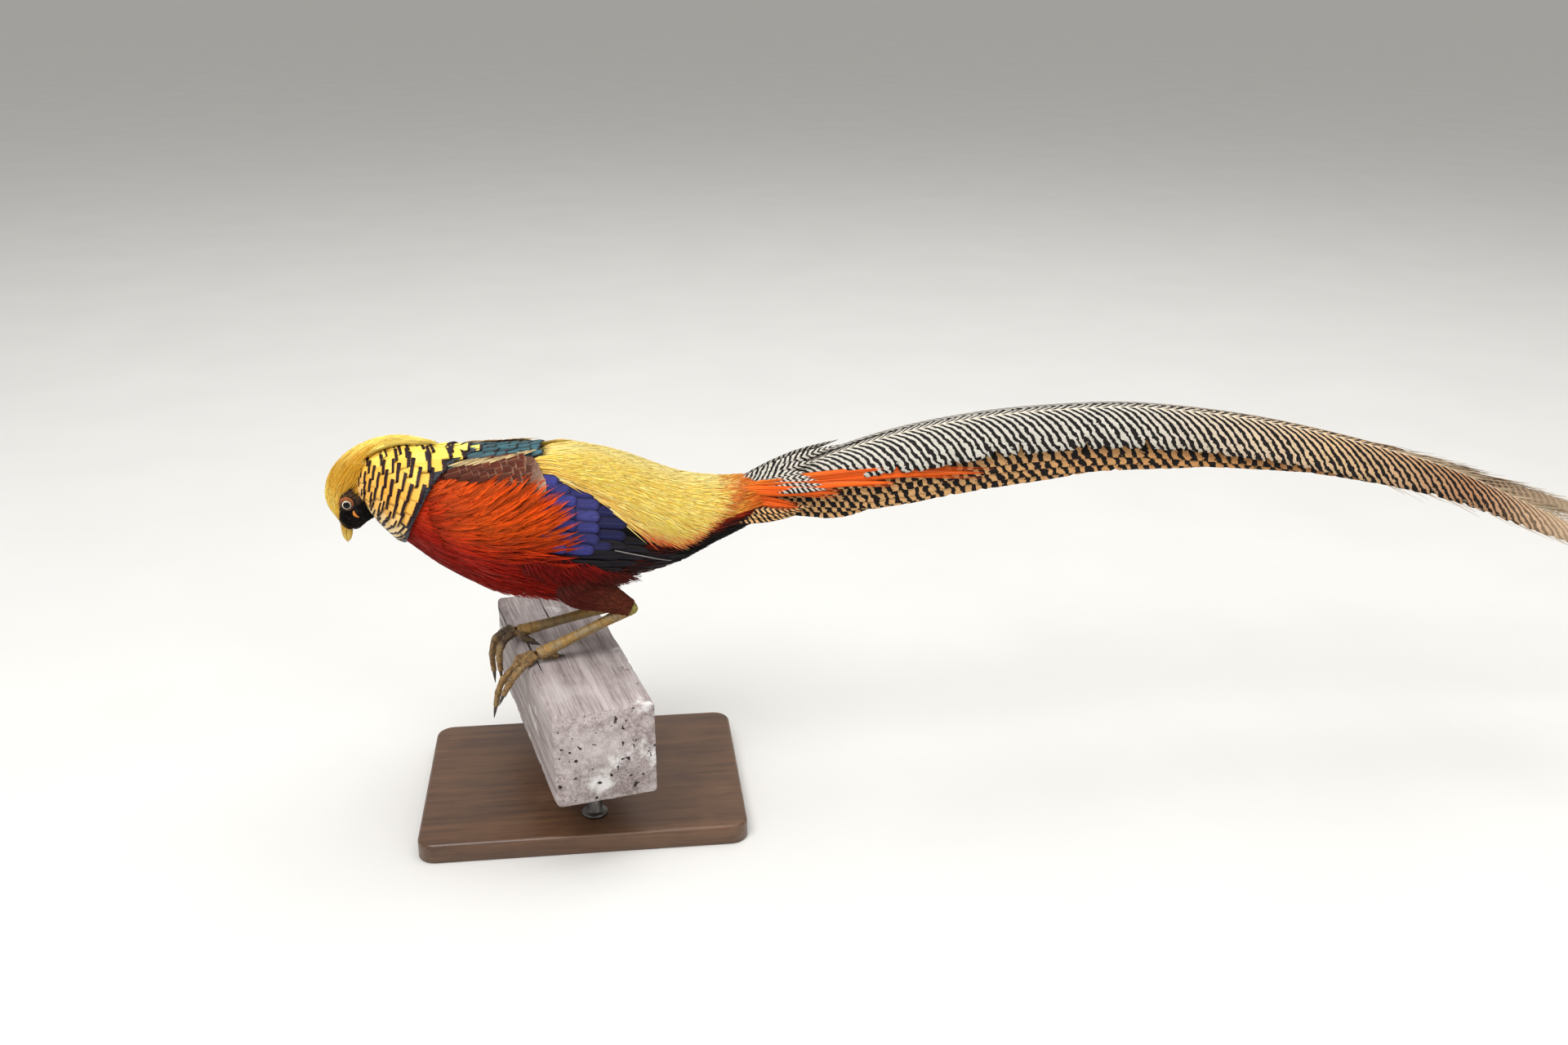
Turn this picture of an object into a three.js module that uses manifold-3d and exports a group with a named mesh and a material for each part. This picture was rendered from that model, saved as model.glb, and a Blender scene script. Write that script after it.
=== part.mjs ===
// A life-size cock golden pheasant leaning forward over the edge of a timber rail, head down, on a small stand.
// Millimetres. +Z is up, the bird faces -X, its left side is towards -Y.
// The origin is the middle of the base's underside.
import * as THREE from 'three';
import { mergeVertices } from 'three/addons/utils/BufferGeometryUtils.js';
import Module from 'manifold-3d';

const wasm = await Module();
wasm.setup();
const { Manifold, Mesh } = wasm;

const GAP = 0.32; // clearance between neighbouring pieces
const FINE = 0.04; // how much a surface may move when needless small triangles are dropped
const LEFT = -1;
const RIGHT = 1;
const SIDES = [['left', LEFT], ['right', RIGHT]];
const deg = THREE.MathUtils.degToRad;
const lerp = THREE.MathUtils.lerp;
const vec = (x, y, z) => new THREE.Vector3(x, y, z);

// Stand and rail.
const BASE = { length: 250, width: 190, thickness: 16, corner: 14 };
const RAIL = { top: 130, depth: 74, width: 76, length: 230, edge: 5, turn: -12.6, centreX: -6 };
const ROD = { radius: 6, spacing: 130 };

// Trunk and neck as one tube of upright sections: x, centre height, half height, half width.
const TRUNK = [
  [-158, 276, 0.5, 0.5], [-156.5, 275.5, 8, 8], [-152, 274, 15.5, 15], [-144, 271, 23, 22], [-133, 267, 29.5, 28.5],
  [-119, 262, 36.5, 34.5], [-96, 251.5, 44.5, 41], [-60, 243, 51.5, 45.5], [-30, 239.5, 54.5, 46.5],
  [0, 237, 55, 45], [38, 237.5, 46, 39.5], [81, 235.5, 32, 30], [113, 241, 21.5, 22], [138, 247, 15.5, 15.5],
  [152, 251, 11, 12],
];
const TRUNK_FRONT = TRUNK[0][0];
// The slanted partings behind the cape and before the rump, x at the back and at the breast.
const NECK_CUT = { top: -84, bottom: -130 };
const RUMP_CUT = { top: -28, bottom: 42 };
const TAIL_CUT = 138;
const TRUNK_SIDES = 18;

// Head: level sections up its own upright axis, because the bird looks straight down:
// z, centre x, half depth, half width.
const HEAD = [
  [235.8, -161.4, 0.6, 0.6], [236.8, -161.3, 2.8, 3.8], [238.6, -161.4, 5.2, 6.4], [241, -161.6, 8.2, 8.9],
  [244, -161.2, 11.8, 10.9], [247, -159.3, 15, 12.4], [250, -157.9, 17.2, 13.2], [254, -157.8, 18.4, 14],
  [262, -157.3, 19, 14.8], [271, -156.3, 19.3, 15.2], [280, -153.2, 18.3, 15], [288, -149.5, 14.5, 13.5],
  [294, -146, 8.5, 9.5], [297, -144, 0.6, 0.6],
];
const HEAD_SIDES = 16;
const EYE = { x: -162.6, y: 10.2, z: 259.7, radius: 4.9, lid: 1.2 };
const BILL = { root: 246, tip: 225.6, culmenX: -170.6, gapeX: -160.4, tipX: -167, halfWidth: 4.4 };

// Crest: the sagittal line that its locks follow from the forehead over the crown and nape.
const CREST_LINE = [
  [-171.5, 243], [-178, 255], [-179, 268], [-173, 283.5], [-159, 297], [-141, 305], [-119, 307.3], [-94, 303.5],
];
const CREST = { halfWidth: 13.5, drop: 7, rows: 3, perRow: 5, length: 0.55 };

// Cape: where its first and last rows of tips lie on the trunk: degrees from the back, first x, last x.
const CAPE_EDGE = [[0, -112, -64], [40, -132, -88], [75, -149, -102], [110, -143, -114], [150, -128, -122]];
const CAPE = { rows: 5, perSide: 5, widest: 145, lift: 4.2 };

// Legs, each with its own pose: hock, ankle (where the toes join) and the places of the toes.
const LEGS = {
  left: {
    side: LEFT, hip: vec(-4, -21, 206), hock: vec(42.5, -25, 170.5), ankle: vec(-29, -26, 136.6),
    toes: [
      [vec(-37, -20.5, 133.6), vec(-45, -16, 129), vec(-49, -13, 120.5), vec(-50.5, -11, 112)],
      [
        vec(-38, -27.5, 133.7), vec(-48, -29, 127.5), vec(-57, -30, 118.5), vec(-61.5, -30.5, 108),
        vec(-64, -31, 97),
      ],
      [vec(-37, -32.5, 133.5), vec(-46, -38, 127), vec(-52.5, -40, 118.5), vec(-57, -41.5, 110.5)],
      [vec(-22, -22.5, 133.6), vec(-15, -20.5, 132)],
    ],
  },
  right: {
    side: RIGHT, hip: vec(-8, 21, 204), hock: vec(29.5, 21, 154), ankle: vec(-46.5, 14.5, 138.4),
    toes: [
      [vec(-53, 9, 137.5), vec(-59.5, 4, 131), vec(-61.5, 2, 121), vec(-61, 1, 111)],
      [vec(-55, 15.5, 139), vec(-64.5, 16, 132.5), vec(-68, 16.5, 119), vec(-67.5, 16.5, 104)],
      [vec(-54, 22, 137.5), vec(-61, 28.5, 131), vec(-64, 31, 119), vec(-64.5, 32, 107)],
      [vec(-41, 10.5, 134.2), vec(-34, 7, 131.9)],
    ],
  },
};
const TOE = { root: 3.1, tip: 2, knuckle: 0.3, sides: 6 };
const CLAW = {
  length: [8, 10.5, 8.5, 6], radius: 1.5, droop: 0.55, inset: 2.2, taper: [0.98, 1, 0.84, 0.56, 0.14],
};
const SHANK = { radius: 3.9, hock: 5.6, ankle: 4.7, sides: 10 };
const THIGH = { hip: 19, hock: 6.2, sides: 16 };

// Tail: the ridge line of the long middle pair, x and z, and how the nested side feathers fall away from it.
const RIDGE = [
  [134, 255], [146, 260], [160, 267.5], [189, 280], [252, 298.5], [316, 309], [380, 313], [445, 312], [547, 296.5],
  [668, 264.5], [770, 230], [868, 196],
];
const TAIL_ROOT = 141;
const MIDDLE_TAIL = { tip: 868, nearShorter: 12, outer: 34, inner: 6.6, pitch: 54 };
const SIDE_TAIL = { outer: 22, inner: 5, pitch: 62 };
const TAIL_THICKNESS = 0.8;
const SIDE_TAIL_TIPS = [770, 655, 545, 440, 335, 240];
const PLUME_TIPS = [[314, 270.8], [245, 264], [214, 258.5], [177, 256.5]];

// Colour and roughness of each finish.
const COLOURS = {
  head: [0xe2b136, 0.6], bill: [0xb58a1e, 0.45], eye: [0xe9e4d2, 0.15], neck: [0xe9a63a, 0.6],
  torso: [0xc22c0c, 0.65], rump: [0xf2d95a, 0.6], wing: [0x27305f, 0.5], tail: [0x8f7350, 0.6],
  thigh: [0x5a2413, 0.7], foot: [0xa88532, 0.5], claw: [0x4a3b26, 0.4], perch: [0xa39a90, 0.85],
  stand: [0x3a2c22, 0.5],
};

// A smooth line through [x, a, b, ...] rows: gives the values at any x.
function profile(rows) {
  const slope = (i, k) => {
    const a = rows[Math.max(i - 1, 0)];
    const b = rows[Math.min(i + 1, rows.length - 1)];
    return (b[k] - a[k]) / (b[0] - a[0]);
  };
  return (x) => {
    const at = THREE.MathUtils.clamp(x, rows[0][0], rows[rows.length - 1][0]);
    let i = 0;
    while (i < rows.length - 2 && at > rows[i + 1][0]) i += 1;
    const span = rows[i + 1][0] - rows[i][0];
    const t = (at - rows[i][0]) / span;
    return rows[i].slice(1).map((v, j) => {
      const k = j + 1;
      const end = rows[i + 1][k];
      return (2 * t ** 3 - 3 * t ** 2 + 1) * v + (t ** 3 - 2 * t ** 2 + t) * span * slope(i, k)
        + (3 * t ** 2 - 2 * t ** 3) * end + (t ** 3 - t ** 2) * span * slope(i + 1, k);
    });
  };
}

const trunkAt = profile(TRUNK);
const capeEdge = profile(CAPE_EDGE);
const ridgeAt = profile(RIDGE);
const crestCurve = new THREE.CatmullRomCurve3(CREST_LINE.map(([x, z]) => vec(x, 0, z)), false, 'centripetal');

// One seeded stream of numbers from 0 to 1, so that the feathers vary the same way every time.
let seed = 20251;
function chance() {
  seed = (seed * 1103515245 + 12345) % 2147483648;
  return seed / 2147483648;
}
const vary = (amount) => (chance() * 2 - 1) * amount;

function geometryOf(points, triangles) {
  return new THREE.BufferGeometry()
    .setAttribute('position', new THREE.Float32BufferAttribute(points.flatMap((p) => p.toArray()), 3))
    .setIndex(triangles);
}

// A closed three.js geometry as a solid that can be joined and cut, turned right side out if need be.
function solid(geometry) {
  const bare = geometry.clone().deleteAttribute('normal').deleteAttribute('uv');
  const merged = mergeVertices(bare, 1e-4);
  const vertProperties = merged.attributes.position.array;
  const triVerts = Uint32Array.from(merged.index.array);
  const made = new Manifold(new Mesh({ numProp: 3, vertProperties, triVerts }));
  if (made.volume() > 0) return made;
  for (let i = 0; i < triVerts.length; i += 3) [triVerts[i], triVerts[i + 1]] = [triVerts[i + 1], triVerts[i]];
  return new Manifold(new Mesh({ numProp: 3, vertProperties, triVerts }));
}

const join = (pieces) => Manifold.union(pieces);

function largest(shape) {
  return shape.decompose().reduce((a, b) => (b.volume() > a.volume() ? b : a));
}

// A closed tube through rings of points, with a flat end at each end.
function tubeSolid(rings) {
  const count = rings[0].length;
  const points = rings.flat();
  const triangles = [];
  for (let r = 0; r < rings.length - 1; r += 1) {
    for (let k = 0; k < count; k += 1) {
      const a = r * count + k;
      const b = r * count + ((k + 1) % count);
      triangles.push(a, b, a + count, b, b + count, a + count);
    }
  }
  [0, rings.length - 1].forEach((r) => {
    const middle = points.length;
    points.push(rings[r].reduce((sum, p) => sum.add(p), vec(0, 0, 0)).divideScalar(count));
    for (let k = 0; k < count; k += 1) {
      const a = r * count + k;
      const b = r * count + ((k + 1) % count);
      triangles.push(...(r === 0 ? [b, a, middle] : [a, b, middle]));
    }
  });
  return solid(geometryOf(points, triangles));
}

// A closed sheet between two equal grids of points, split into triangles alike on both faces.
function sheetSolid(upper, lower) {
  const rows = upper.length;
  const columns = upper[0].length;
  const points = [...upper.flat(), ...lower.flat()];
  const under = rows * columns;
  const triangles = [];
  const quad = (a, b, c, d) => triangles.push(a, b, c, a, c, d);
  for (let r = 0; r < rows - 1; r += 1) {
    for (let c = 0; c < columns - 1; c += 1) {
      const a = r * columns + c;
      triangles.push(a, a + 1, a + columns + 1, a, a + columns + 1, a + columns);
      const b = a + under;
      triangles.push(b, b + columns + 1, b + 1, b, b + columns, b + columns + 1);
    }
    const left = r * columns;
    const right = left + columns - 1;
    quad(left, left + columns, left + columns + under, left + under);
    quad(right, right + under, right + columns + under, right + columns);
  }
  for (let c = 0; c < columns - 1; c += 1) {
    quad(c, c + under, c + 1 + under, c + 1);
    const end = (rows - 1) * columns + c;
    quad(end, end + 1, end + 1 + under, end + under);
  }
  return solid(geometryOf(points, triangles));
}

// A feather vane through stations of {at, out, half}: a place, the way its upper face looks, and half its width.
function vane(stations, thickness, grow = 0) {
  const upper = [];
  const lower = [];
  stations.forEach((s, i) => {
    const before = stations[Math.max(i - 1, 0)].at;
    const after = stations[Math.min(i + 1, stations.length - 1)].at;
    const along = after.clone().sub(before).normalize();
    const across = s.out.clone().cross(along).normalize();
    const up = along.clone().cross(across).normalize();
    const place = s.at.clone();
    if (i === 0) place.addScaledVector(along, -grow);
    if (i === stations.length - 1) place.addScaledVector(along, grow);
    const half = Math.max(s.half, 0.3) + grow;
    const lift = thickness / 2 + grow;
    const edge = (way, rise) => place.clone().addScaledVector(across, way * half).addScaledVector(up, rise);
    upper.push([edge(-1, lift), edge(1, lift)]);
    lower.push([edge(-1, -lift), edge(1, -lift)]);
  });
  return sheetSolid(upper, lower);
}

// A place on the trunk at x and the angle from the back (degrees, on one side), raised off the surface.
function trunkPoint(x, angle, side, raise = 0) {
  const surface = (px, pa) => {
    const [z, high, wide] = trunkAt(px);
    return vec(px, side * wide * Math.sin(deg(pa)), z + high * Math.cos(deg(pa)));
  };
  const at = surface(x, angle);
  const along = surface(x + 0.5, angle).sub(surface(x - 0.5, angle));
  const around = surface(x, angle + 0.5).sub(surface(x, angle - 0.5));
  const out = along.cross(around).multiplyScalar(side).normalize();
  if (out.dot(at.clone().sub(vec(x, 0, trunkAt(x)[0]))) < 0) out.negate();
  return { at: at.addScaledVector(out, raise), out };
}

// A vane that lies along the trunk from one place to another, with heights over the surface from root to tip
// and a share of the full width at each. A roll lifts its lower edge, so that it lies like a tile over the next.
function trunkVane({ from, to, side, width, heights, shape, roll = 0, thickness = 0.8 }, grow) {
  const steps = heights.length - 1;
  const stations = heights.map((height, i) => {
    const t = i / steps;
    const angle = lerp(from[1], to[1], t);
    const x = lerp(from[0], to[0], t);
    const { at, out } = trunkPoint(x, angle, side, height);
    const down = trunkPoint(x, angle + 1, side).at.sub(trunkPoint(x, angle - 1, side).at).normalize();
    const face = out.clone().multiplyScalar(Math.cos(deg(roll))).addScaledVector(down, -Math.sin(deg(roll)));
    return { at, out: face, half: (width / 2) * shape[i] };
  });
  return vane(stations, thickness, grow);
}

// Places round the back for one row of feathers: every other row has one in the middle.
function rowPlaces(row, count, widest) {
  const first = row % 2 ? 0 : 0.5;
  const angles = Array.from({ length: count }, (_, k) => ((k + first) * widest) / count);
  const places = SIDES.flatMap(([, side]) => angles.map((angle) => ({ angle, side })));
  return places.filter(({ angle, side }) => angle > 0 || side === LEFT);
}

const arcWidth = (x, degrees) => deg(degrees) * (trunkAt(x)[1] + trunkAt(x)[2]) / 2;

function trunkTube(fromX, toX, grow = 0) {
  const xs = TRUNK.map((row) => row[0]);
  const stops = [];
  xs.forEach((x, i) => {
    if (i > 0 && x - xs[i - 1] > 33) stops.push((x + xs[i - 1]) / 2);
    stops.push(x);
  });
  const rings = stops.filter((x) => x >= fromX && x <= toX).map((x) => {
    const [z, high, wide] = trunkAt(x);
    const stretch = x === TRUNK_FRONT ? -grow : 0;
    return Array.from({ length: TRUNK_SIDES }, (_, k) => {
      const a = (2 * Math.PI * k) / TRUNK_SIDES;
      return vec(x + stretch, (wide + grow) * Math.sin(a), z + (high + grow) * Math.cos(a));
    });
  });
  return tubeSolid(rings);
}

// The parting plane through two points of the side view: the direction across it and its distance from the origin.
function partingPlane({ top, bottom }) {
  const [zTop, highTop] = trunkAt(top);
  const [zBottom, highBottom] = trunkAt(bottom);
  const run = vec(top - bottom, 0, zTop + highTop - (zBottom - highBottom)).normalize();
  const across = vec(run.z, 0, -run.x);
  return { across, offset: across.dot(vec(top, 0, zTop + highTop)) };
}

const neckPlane = partingPlane(NECK_CUT);
const rumpPlane = partingPlane(RUMP_CUT);
const behind = (shape, { across, offset }) => shape.trimByPlane(across.toArray(), offset + GAP / 2);
const ahead = (shape, { across, offset }) => (
  shape.trimByPlane(across.clone().negate().toArray(), -offset + GAP / 2)
);

function neckCore(grow = 0) {
  return ahead(trunkTube(-200, -40, grow), grow ? { ...neckPlane, offset: neckPlane.offset + GAP } : neckPlane);
}

function torsoCore(grow = 0) {
  return ahead(behind(trunkTube(-200, 90, grow), neckPlane), rumpPlane);
}

function rumpCore(grow = 0) {
  return behind(trunkTube(-60, 200, grow), rumpPlane).trimByPlane([-1, 0, 0], -(TAIL_CUT - GAP / 2));
}

// Where the parting behind the cape crosses the trunk at an angle from the back.
const partingX = (angle) => lerp(NECK_CUT.top, NECK_CUT.bottom, (1 - Math.cos(deg(angle))) / 2);

function capeVanes(grow) {
  const vanes = [];
  for (let row = 0; row < CAPE.rows; row += 1) {
    rowPlaces(row, CAPE.perSide, CAPE.widest).forEach(({ angle, side }) => {
      const [first, last] = capeEdge(angle);
      const pitch = (last - first) / (CAPE.rows - 1);
      const tip = first + pitch * row;
      const root = tip - Math.max(pitch * 2, 7);
      if (root < TRUNK_FRONT + 4) return;
      const fan = (angle - 70) * 0.06;
      const width = arcWidth(tip, CAPE.widest / CAPE.perSide) * 0.92;
      vanes.push(trunkVane({
        from: [root, angle - fan], to: [tip, angle + fan], side, width,
        heights: [-1.8, 1.2, CAPE.lift], shape: [0.62, 0.95, 0.78],
      }, grow));
    });
  }
  return vanes;
}

// Green feathers of the upper back.
function mantleVanes(grow) {
  const vanes = [];
  [-66, -55, -44].forEach((x, row) => {
    rowPlaces(row, 3, 48).forEach(({ angle, side }) => vanes.push(trunkVane({
      from: [x - angle * 0.2, angle], to: [x + 31 + row * 3 - angle * 0.1, angle + 3], side, width: 13,
      heights: [-1.6, 1.7 + angle * 0.03, 3.8 + angle * 0.08], shape: [0.5, 1, 0.62],
    }, grow)));
  });
  return vanes;
}

// Brown feathers of the shoulder that lie over the wing's upper edge.
function scapularVanes(grow) {
  return SIDES.flatMap(([, side]) => [0, 1, 2].map((k) => trunkVane({
    from: [-60 + k * 3, 47 + k * 4], to: [-24 + k * 5, 50 + k * 5], side, width: 6.6, roll: 12,
    heights: [-1.6, 4.4, 8.2], shape: [0.5, 1, 0.5],
  }, grow)));
}

// Long pointed plumes that stream from the sides of the breast over the wing.
function breastPlumes(grow) {
  const vanes = [];
  SIDES.forEach(([, side]) => {
    for (let k = 0; k < 15; k += 1) {
      const tier = k % 3;
      const angle = 66 + k * 3.9;
      const root = partingX(angle) + 4 + (2 - tier) * 10;
      const reach = 15 - tier * 21 - Math.abs(angle - 92) * 0.5 + vary(6);
      vanes.push(trunkVane({
        from: [root, angle + 3], to: [reach, angle - 3 + vary(2)], side, width: 9.6, thickness: 0.9,
        heights: [-1.8, 7.4 + tier * 0.6, 9 + tier * 1.2], shape: [0.4, 1, 0.06],
      }, grow));
    }
  });
  return vanes;
}

// Golden hair-like feathers from the middle of the back down over the wing and to the tail:
// first x, how many on a side, how far round they root, length, how far they fall, height at the tip.
const RUMP_ROWS = [
  [-21, 2, 27, 42, 24, 9], [-3, 3, 44, 47, 36, 9.4], [20, 4, 62, 46, 38, 9.4], [42, 4, 78, 45, 40, 9],
  [65, 4, 90, 42, 40, 7.4], [88, 4, 94, 40, 34, 5.6], [110, 3, 94, 36, 32, 5],
];

function rumpVanes(grow) {
  const vanes = [];
  RUMP_ROWS.forEach(([x, count, widest, length, fall, lift], row) => {
    rowPlaces(row, count, widest).forEach(({ angle, side }) => {
      const share = angle / widest;
      const height = lerp(3, lift, Math.min(1, share * 1.5));
      const reach = x + length * (1 - share * 0.14) + vary(1.5);
      const width = arcWidth((x + reach) / 2, (widest + fall / 2) / count) * 0.88;
      vanes.push(trunkVane({
        from: [x, angle], to: [reach, angle + fall * share * 1.15], side, width,
        heights: [-1.6, height * lerp(0.42, 0.8, share), height], shape: [0.45, 1, 0.14],
      }, grow));
    });
  });
  return vanes;
}

// Black feathers under the root of the tail.
function ventVanes(grow) {
  return SIDES.flatMap(([, side]) => [0, 1, 2, 3].map((k) => trunkVane({
    from: [90 + k * 3, 129 + k * 14], to: [136 - k * 1.5, 131 + k * 14], side, width: 5.4,
    heights: [-1.4, 1, 3], shape: [0.8, 1, 0.2],
  }, grow)));
}

// One wing folded against the trunk: a thin arm under rows of feathers, each rolled over the one below it.
function wingShape(side, grow = 0) {
  const columns = [-44 - grow, -30, -14, 4 + grow];
  const angles = [63 - grow * 1.4, 77, 91, 105, 117 + grow * 1.4];
  const layer = (raise) => columns.map((x, i) => angles.map((angle, j) => {
    const rim = i === 0 || j === 0 || j === angles.length - 1;
    return trunkPoint(x, angle, side, rim ? Math.min(raise, 1.6) : raise).at;
  }));
  const pieces = [sheetSolid(layer(2.8 + grow), layer(0.45 - grow))];
  const row = (count, from, fromStep, to, toStep, width, heights, shape) => {
    for (let k = 0; k < count; k += 1) {
      const moved = ([x, angle], [stepX, stepAngle]) => [x + stepX * k, angle + stepAngle * k];
      pieces.push(trunkVane({
        from: moved(from, fromStep), to: moved(to, toStep), side, width, roll: 13, heights, shape,
      }, grow));
    }
  };
  row(5, [-6, 113], [0, -4], [91, 133], [-7, -5.6], 7.6, [1.2, 3.4, 5.2], [0.5, 1, 0.3]);
  row(4, [-10, 91], [0, -7], [64, 101], [-4, -8.6], 10.4, [1.4, 3.4, 5.4], [0.5, 1, 0.5]);
  row(5, [-36, 73], [0, 9.6], [2, 73], [-1, 9.8], 10.6, [1.6, 3.8, 5.4], [0.7, 1, 0.55]);
  return largest(join(pieces));
}

function headCore(grow = 0) {
  return tubeSolid(HEAD.map(([z, x, deep, wide], i) => {
    const end = i === 0 ? -grow : i === HEAD.length - 1 ? grow : 0;
    return Array.from({ length: HEAD_SIDES }, (_, k) => {
      const a = (2 * Math.PI * k) / HEAD_SIDES;
      return vec(x - (deep + grow) * Math.cos(a), (wide + grow) * Math.sin(a), z + end);
    });
  }));
}

function eyeSolid(side, grow = 0) {
  return solid(new THREE.SphereGeometry(EYE.radius + grow, 12, 8)).translate([EYE.x, side * EYE.y, EYE.z]);
}

// Both lids as one low ring round the eye, facing sideways.
function lidRing(side) {
  const ring = new THREE.TorusGeometry(EYE.radius - 0.35, EYE.lid, 4, 14).rotateX(Math.PI / 2).rotateZ(side * 0.1);
  return solid(ring).translate([EYE.x, side * (EYE.y + 3.1), EYE.z]);
}

// A small fleshy lappet behind and below the eye.
function wattle(side) {
  const lump = new THREE.SphereGeometry(1, 8, 5).scale(1.3, 1.1, 3.6).rotateY(deg(28));
  return solid(lump).translate([EYE.x + 5.6, side * 13.7, EYE.z - 8.2]);
}

// Half of the bill, from the root to the tip, as rounded sections: the upper half hooks over the lower.
function billHalf(upper, grow = 0) {
  const rings = [];
  const steps = 6;
  for (let i = 0; i <= steps; i += 1) {
    const t = i / steps;
    const reach = upper ? 1 : 0.86;
    const z = lerp(BILL.root, BILL.tip, t * reach);
    const culmen = lerp(BILL.culmenX, BILL.tipX, t ** 1.6) - 1.1 * Math.sin(Math.PI * t) * (upper ? 1 : 0);
    const parting = lerp(BILL.gapeX - 3.4, BILL.tipX + 0.9, t ** 1.1);
    const under = lerp(BILL.gapeX + 0.6, BILL.tipX + 1.5, t ** 1.25);
    const from = upper ? culmen - grow : parting + GAP - grow;
    const to = upper ? Math.max(parting, culmen + 0.7) + grow : Math.max(under, parting + GAP + 0.6) + grow;
    const half = BILL.halfWidth * (1 - t ** 1.7 * 0.9) * (upper ? 1 : 0.86) + grow;
    const count = 10;
    rings.push(Array.from({ length: count }, (_, k) => {
      const a = (Math.PI * k) / (count - 1);
      const round = Math.sin(a);
      const x = upper ? to - (to - from) * round : from + (to - from) * round;
      const end = i === 0 ? grow : i === steps ? -grow : 0;
      return vec(x, half * Math.cos(a) * (0.9 + 0.1 * round), z + end);
    }));
  }
  return tubeSolid(rings);
}

function nostril(side) {
  return solid(new THREE.SphereGeometry(1, 8, 6).scale(0.75, 1.1, 1.9)).translate([-168.4, side * 3.9, 239]);
}

// A place on the hood that the crest forms: share along its line, and share across it from -1 to 1.
function crestPoint(along, across, raise) {
  const s = THREE.MathUtils.clamp(along, 0, 1);
  const at = crestCurve.getPointAt(s);
  const way = crestCurve.getTangentAt(s);
  const out = vec(-way.z, 0, way.x);
  const narrow = lerp(0.5, 1, Math.min(1, s * 5)) * lerp(1, 0.75, Math.max(0, s * 2 - 1));
  const turn = across * 1.25;
  const side = CREST.halfWidth * narrow * Math.sin(turn);
  const normal = out.clone().multiplyScalar(Math.cos(turn)).add(vec(0, Math.sin(turn), 0)).normalize();
  at.addScaledVector(out, -CREST.drop * narrow * (1 - Math.cos(turn))).add(vec(0, side, 0));
  return { at: at.addScaledVector(normal, raise), out: normal };
}

function crestLocks(grow) {
  const locks = [];
  for (let row = 0; row < CREST.rows; row += 1) {
    for (let k = 0; k < CREST.perRow; k += 1) {
      const across = ((k + (row % 2 ? 0.75 : 0.25)) / CREST.perRow) * 2 - 1;
      const start = 0.02 + row * 0.21;
      const length = Math.min(CREST.length, 1 - start);
      const shape = [0.25, 0.75, 1, 0.9, 0.1];
      locks.push(vane(shape.map((share, i) => {
        const t = i / (shape.length - 1);
        const along = start + length * t;
        const near = crestPoint(along, across - 0.1, 0).at.distanceTo(crestPoint(along, across + 0.1, 0).at);
        return { ...crestPoint(along, across, lerp(-5, 2, t)), half: near * (4.4 / CREST.perRow) * share };
      }), 0.9, grow));
    }
  }
  return locks;
}

// A round limb through points, with a radius at each.
function limb(points, radii, sides, grow = 0) {
  const ends = [points[0], points[points.length - 1]].map((p) => p.clone());
  ends[0].addScaledVector(points[1].clone().sub(points[0]).normalize(), -grow);
  ends[1].addScaledVector(points[points.length - 2].clone().sub(points[points.length - 1]).normalize(), -grow);
  const places = points.map((p, i) => (i === 0 ? ends[0] : i === points.length - 1 ? ends[1] : p));
  let side = vec(0, 1, 0);
  return tubeSolid(places.map((p, i) => {
    const way = places[Math.min(i + 1, places.length - 1)].clone().sub(places[Math.max(i - 1, 0)]).normalize();
    side = side.clone().addScaledVector(way, -side.dot(way)).normalize();
    const up = way.clone().cross(side);
    const radius = radii[i] + grow;
    return Array.from({ length: sides }, (_, k) => {
      const a = (2 * Math.PI * k) / sides;
      return p.clone().addScaledVector(side, radius * Math.cos(a)).addScaledVector(up, radius * Math.sin(a));
    });
  }));
}

function thighLimb({ hip, hock, side }, grow = 0) {
  const knee = vec(hip.x + 8, hip.y + side * 3, hip.z - 14);
  const points = [hip, knee, knee.clone().lerp(hock, 0.45), knee.clone().lerp(hock, 0.8), hock];
  return limb(points, [THIGH.hip, THIGH.hip * 0.92, 12.2, 8, THIGH.hock], THIGH.sides, grow);
}

function shankLimb({ hock, ankle }, grow = 0) {
  const way = ankle.clone().sub(hock).normalize();
  const joint = [-4.5, -1.5, 6].map((step) => hock.clone().addScaledVector(way, step));
  const points = [...joint, hock.clone().lerp(ankle, 0.3), hock.clone().lerp(ankle, 0.78), ankle];
  const radii = [3.4, SHANK.hock * 0.93, SHANK.hock * 0.86, SHANK.radius, SHANK.radius, SHANK.ankle * 0.9];
  return limb(points, radii, SHANK.sides, grow);
}

// A toe with a swelling at each joint, through smooth points from the ankle.
function toeLimb(ankle, places) {
  const curve = new THREE.CatmullRomCurve3([ankle.clone().lerp(places[0], 0.3), ...places], false, 'centripetal');
  const steps = places.length * 2;
  const points = curve.getSpacedPoints(steps);
  const radii = points.map((_, i) => lerp(TOE.root, TOE.tip, i / steps) + (i % 2 ? -TOE.knuckle : TOE.knuckle));
  radii[steps] = TOE.tip * 0.8;
  return limb(points, radii, TOE.sides);
}

function clawHorn(places, length, grow = 0) {
  const tip = places[places.length - 1];
  const way = tip.clone().sub(places[places.length - 2]).normalize();
  const bend = way.clone().add(vec(0, 0, -CLAW.droop)).normalize();
  const lies = Math.abs(way.z) < 0.4;
  const steps = CLAW.taper.length - 1;
  const points = [tip.clone().addScaledVector(way, -CLAW.inset)];
  for (let i = 0; i < steps; i += 1) {
    const turn = lies ? way : way.clone().lerp(bend, i / steps).normalize();
    points.push(points[i].clone().addScaledVector(turn, (length + CLAW.inset) / steps));
  }
  return limb(points, CLAW.taper.map((share) => CLAW.radius * share), 6, grow);
}

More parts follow.
